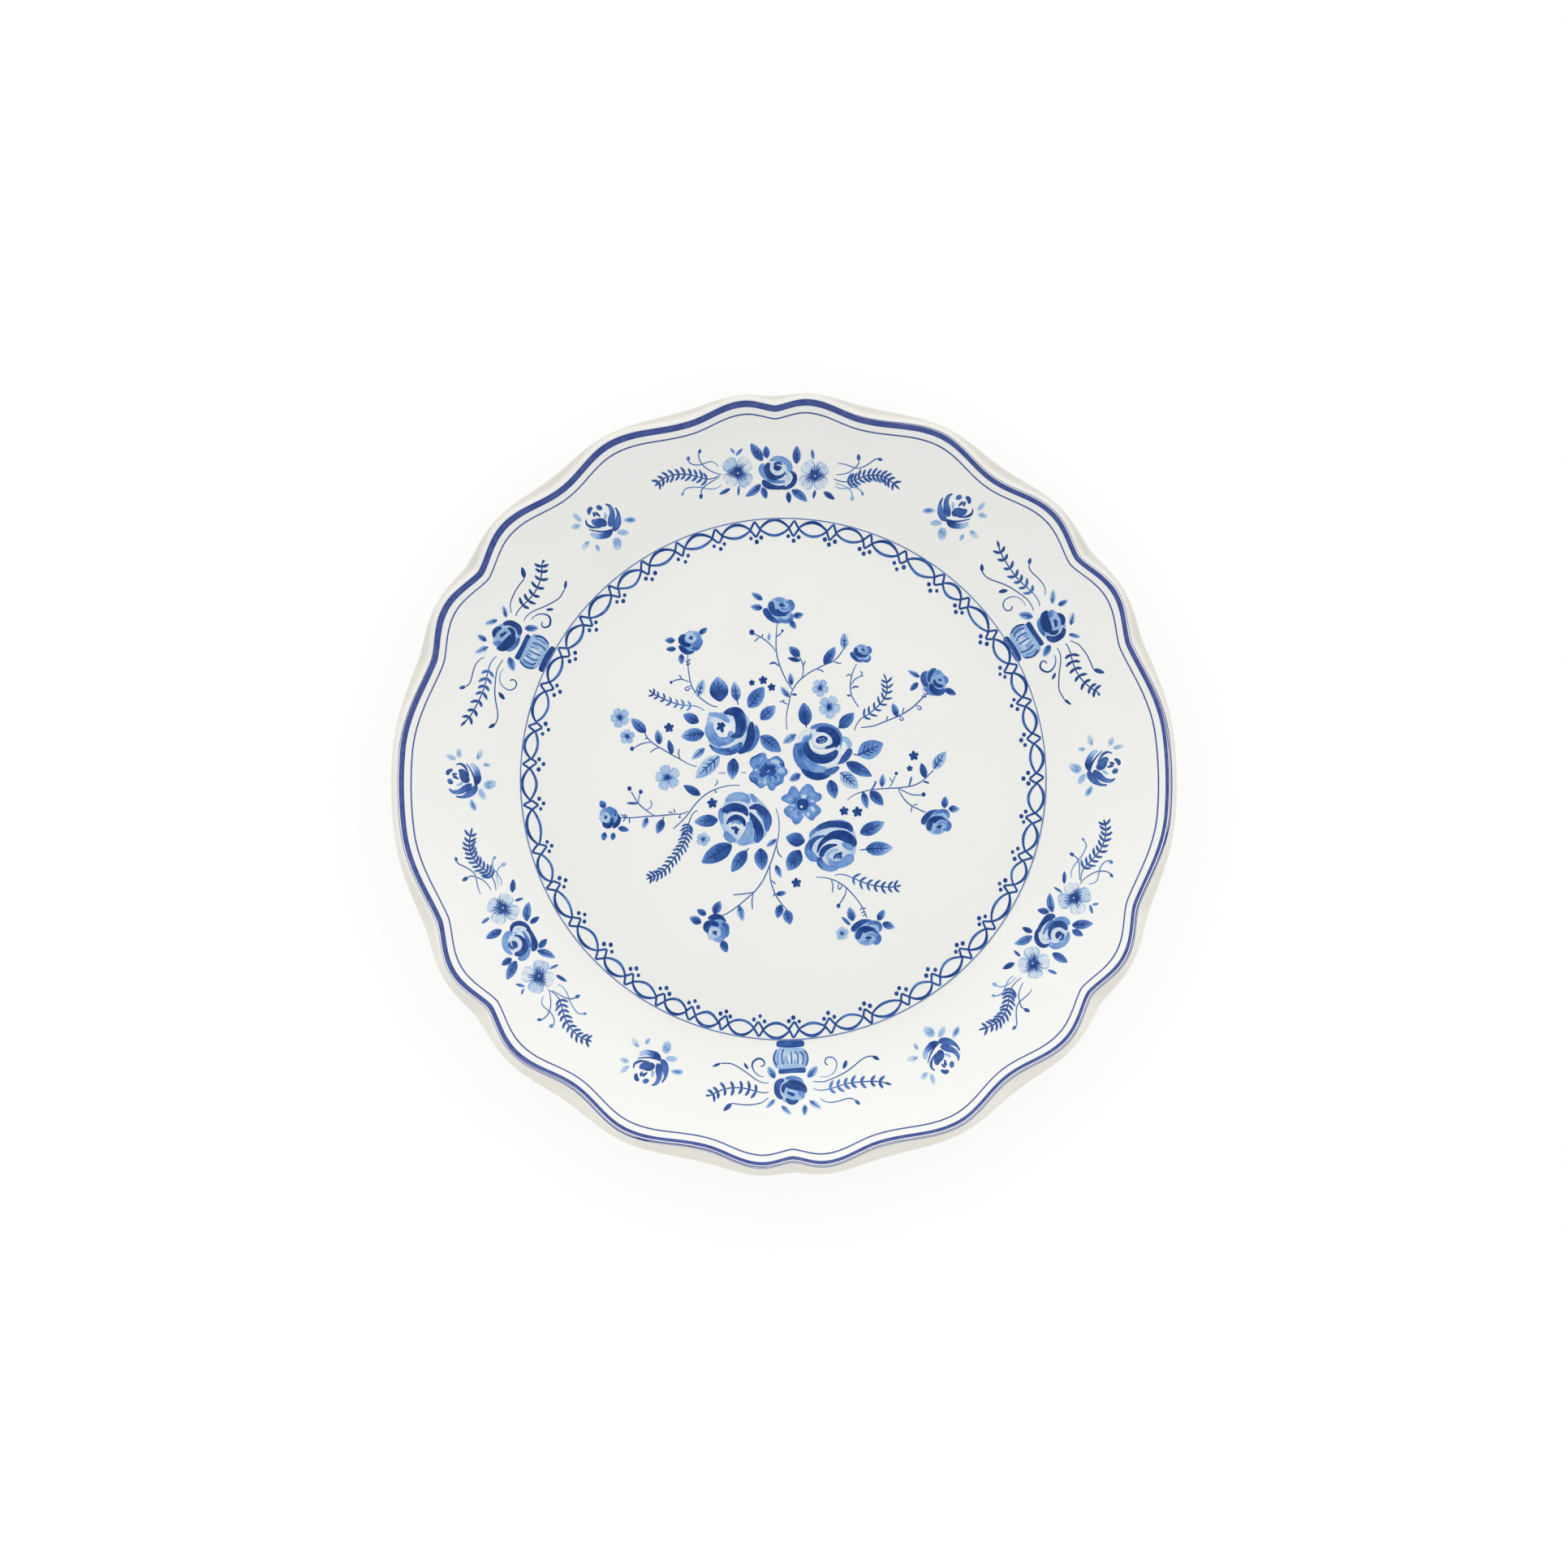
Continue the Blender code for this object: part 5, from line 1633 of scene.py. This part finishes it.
def well_line(material):
    """A fine line round the well."""
    line = Print("print_well_line")
    for start in range(0, 360, LINE_ARC):
        angles = np.linspace(start - LINE_OVERLAP, start + LINE_ARC + LINE_OVERLAP, 9)
        path = [border_place(angle, 0.0) for angle in angles]
        brush(line, path, LINE_WIDTH, LINE_TONE, blunt=0.0, fade=0.1)
    line.make(material)


def well_links(material):
    """Oval links inside the line, with a diamond and a group of three dots where two links meet."""
    rng = np.random.default_rng(7)
    links = Print("print_well_links")
    step = 360.0 / BORDER_LINKS
    per_degree = math.radians(1.0) * (BORDER_RADII[0] - LINK_DEPTH)
    shift, shift_at, shift_width = LINK_SHIFT
    mids = [k * step + FIRST_LINK + rng.uniform(-LINK_WANDER, LINK_WANDER) for k in range(BORDER_LINKS)]
    mids = [mid + shift * math.exp(-(((mid - shift_at) / shift_width) ** 2)) for mid in mids]
    for mid, following in zip(mids, mids[1:] + [mids[0] + 360.0]):
        tip, foot = rng.uniform(0.2, 0.9), rng.uniform(5.4, 6.3)
        lean = rng.uniform(-0.35, 0.35) / per_degree
        half = rng.uniform(1.55, 1.9) / per_degree
        sides = rng.uniform(3.0, 3.5)
        corners = ((mid + lean, tip), (mid + half, sides), (mid - lean, foot), (mid - half, sides + 0.2))
        for a, b in zip(corners, corners[1:] + corners[:1]):
            middle = ((a[0] + b[0]) / 2, (a[1] + b[1]) / 2 + rng.uniform(-0.15, 0.15))
            path = [border_place(*corner) for corner in (a, middle, b)]
            brush(links, path, (0.8, 0.7, 0.8), rng.uniform(0.88, 1.0))
        begin, end = mid + half * 0.9, following - half * 0.9
        rise, fall = rng.uniform(0.45, 1.0), rng.uniform(5.0, 5.9)
        upper = (rise, rng.uniform(1.0, 1.2), 0.0)
        lower = (fall, rng.uniform(0.85, 1.05), 0.22)
        for depth, swell, pale in (upper, lower):
            shares = np.linspace(0.0, 1.0, 7)
            bow = np.sin(math.pi * shares) ** rng.uniform(0.75, 0.95)
            arc = zip(begin + (end - begin) * shares, sides + (depth - sides) * bow)
            path = [border_place(across, down) for across, down in arc]
            tones = (rng.uniform(0.92, 1.0), rng.uniform(0.82, 1.0) - pale, rng.uniform(0.92, 1.0))
            brush(links, path, (0.62, swell, 0.62), tones)
        for aside, down in DOT_TRIO:
            across = mid + (aside + rng.uniform(-0.15, 0.15)) / per_degree
            x, y = border_place(across, down + rng.uniform(-0.15, 0.3))
            dot(links, x, y, rng.uniform(1.25, 1.6), rng.uniform(0.88, 1.0))
    links.make(material)


# ---------------------------------------------------------------- stage
STAGE_SIDE = 6.0  # metres, from the middle to an edge of the floor
STAGE_DROP = 0.0005  # metres, so that the floor and the foot don't share a plane
# The light tent's level, each as the direction's low and high values and the level at them: brighter
# past the plate's far side, and dark straight overhead, where the tent has the camera's opening.
SKY_ACROSS = (-1.0, 1.0, 0.78, 1.62)
SKY_OVERHEAD = (0.80, 0.96, 1.0, 0.4)
CAMERA_DISTANCE = 3.0  # metres
CAMERA_ACROSS = 0.541  # metres seen from side to side at that distance
CAMERA_TILT = 1.0  # degrees from straight down
CAMERA_ROLL = -1.34  # degrees
CAMERA_AIM = 20.0  # height in millimetres of the point that it looks at


def stage():
    """A pale floor that glows softly, as a light tent's does."""
    studio_floor = Nodes("studio_floor")
    for name, value in (
        ("Base Color", (0.3, 0.3, 0.3, 1.0)),
        ("Emission Color", (1.0, 1.0, 1.0, 1.0)),
        ("Emission Strength", 0.7),
        ("Roughness", 0.9),
        ("Specular IOR Level", 0.1),
    ):
        studio_floor.shader.inputs[name].default_value = value
    mesh = bpy.data.meshes.new("floor")
    corners = [(x * STAGE_SIDE, y * STAGE_SIDE, 0) for x, y in ((-1, -1), (1, -1), (1, 1), (-1, 1))]
    mesh.from_pydata(corners, [], [(0, 1, 2, 3)])
    mesh.materials.append(studio_floor.material)
    floor = bpy.data.objects.new("floor", mesh)
    bpy.context.scene.collection.objects.link(floor)
    floor.location.z = -STAGE_DROP


def light_and_camera():
    """A soft tent of light all round, and the camera nearly straight above."""
    scene = bpy.context.scene
    scene.view_settings.view_transform = "Standard"
    world = bpy.data.worlds.new("studio")
    world.use_nodes = True
    tree = world.node_tree
    sky = tree.nodes["Background"]
    sky.inputs["Color"].default_value = (1.0, 1.0, 1.0, 1.0)
    toward = tree.nodes.new("ShaderNodeTexCoord")
    split = tree.nodes.new("ShaderNodeSeparateXYZ")
    product = tree.nodes.new("ShaderNodeMath")
    product.operation = "MULTIPLY"
    tree.links.new(toward.outputs["Generated"], split.inputs[0])
    for socket, axis, values in ((0, "Y", SKY_ACROSS), (1, "Z", SKY_OVERHEAD)):
        level = tree.nodes.new("ShaderNodeMapRange")
        tree.links.new(split.outputs[axis], level.inputs["Value"])
        for place, value in zip(list(level.inputs)[1:5], values):
            place.default_value = value
        tree.links.new(level.outputs["Result"], product.inputs[socket])
    tree.links.new(product.outputs[0], sky.inputs["Strength"])
    scene.world = world
    lens = bpy.data.cameras.new("camera")
    lens.lens = lens.sensor_width * CAMERA_DISTANCE / CAMERA_ACROSS
    lens.clip_end = 20.0
    camera = bpy.data.objects.new("camera", lens)
    turn = Euler((math.radians(CAMERA_TILT), 0.0, math.radians(CAMERA_ROLL)))
    camera.rotation_euler = turn
    aim = Vector((0.0, 0.0, CAMERA_AIM * MM))
    camera.location = turn.to_matrix() @ Vector((0.0, 0.0, CAMERA_DISTANCE)) + aim
    scene.collection.objects.link(camera)
    scene.camera = camera


def main():
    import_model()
    light_and_camera()
    stage()
    plate_body(china_glaze())
    ink = cobalt_print("cobalt_print", INK_TONES, 0.15)
    band = cobalt_print("cobalt_band", BAND_TONES, 0.10, 0.5)
    edge_band("print_rim_band", *RIM_BAND, band)
    edge_band("print_rim_line", *RIM_LINE, band)
    well_line(ink)
    well_links(ink)
    rim_prints(ink)
    bouquet(ink)


main()
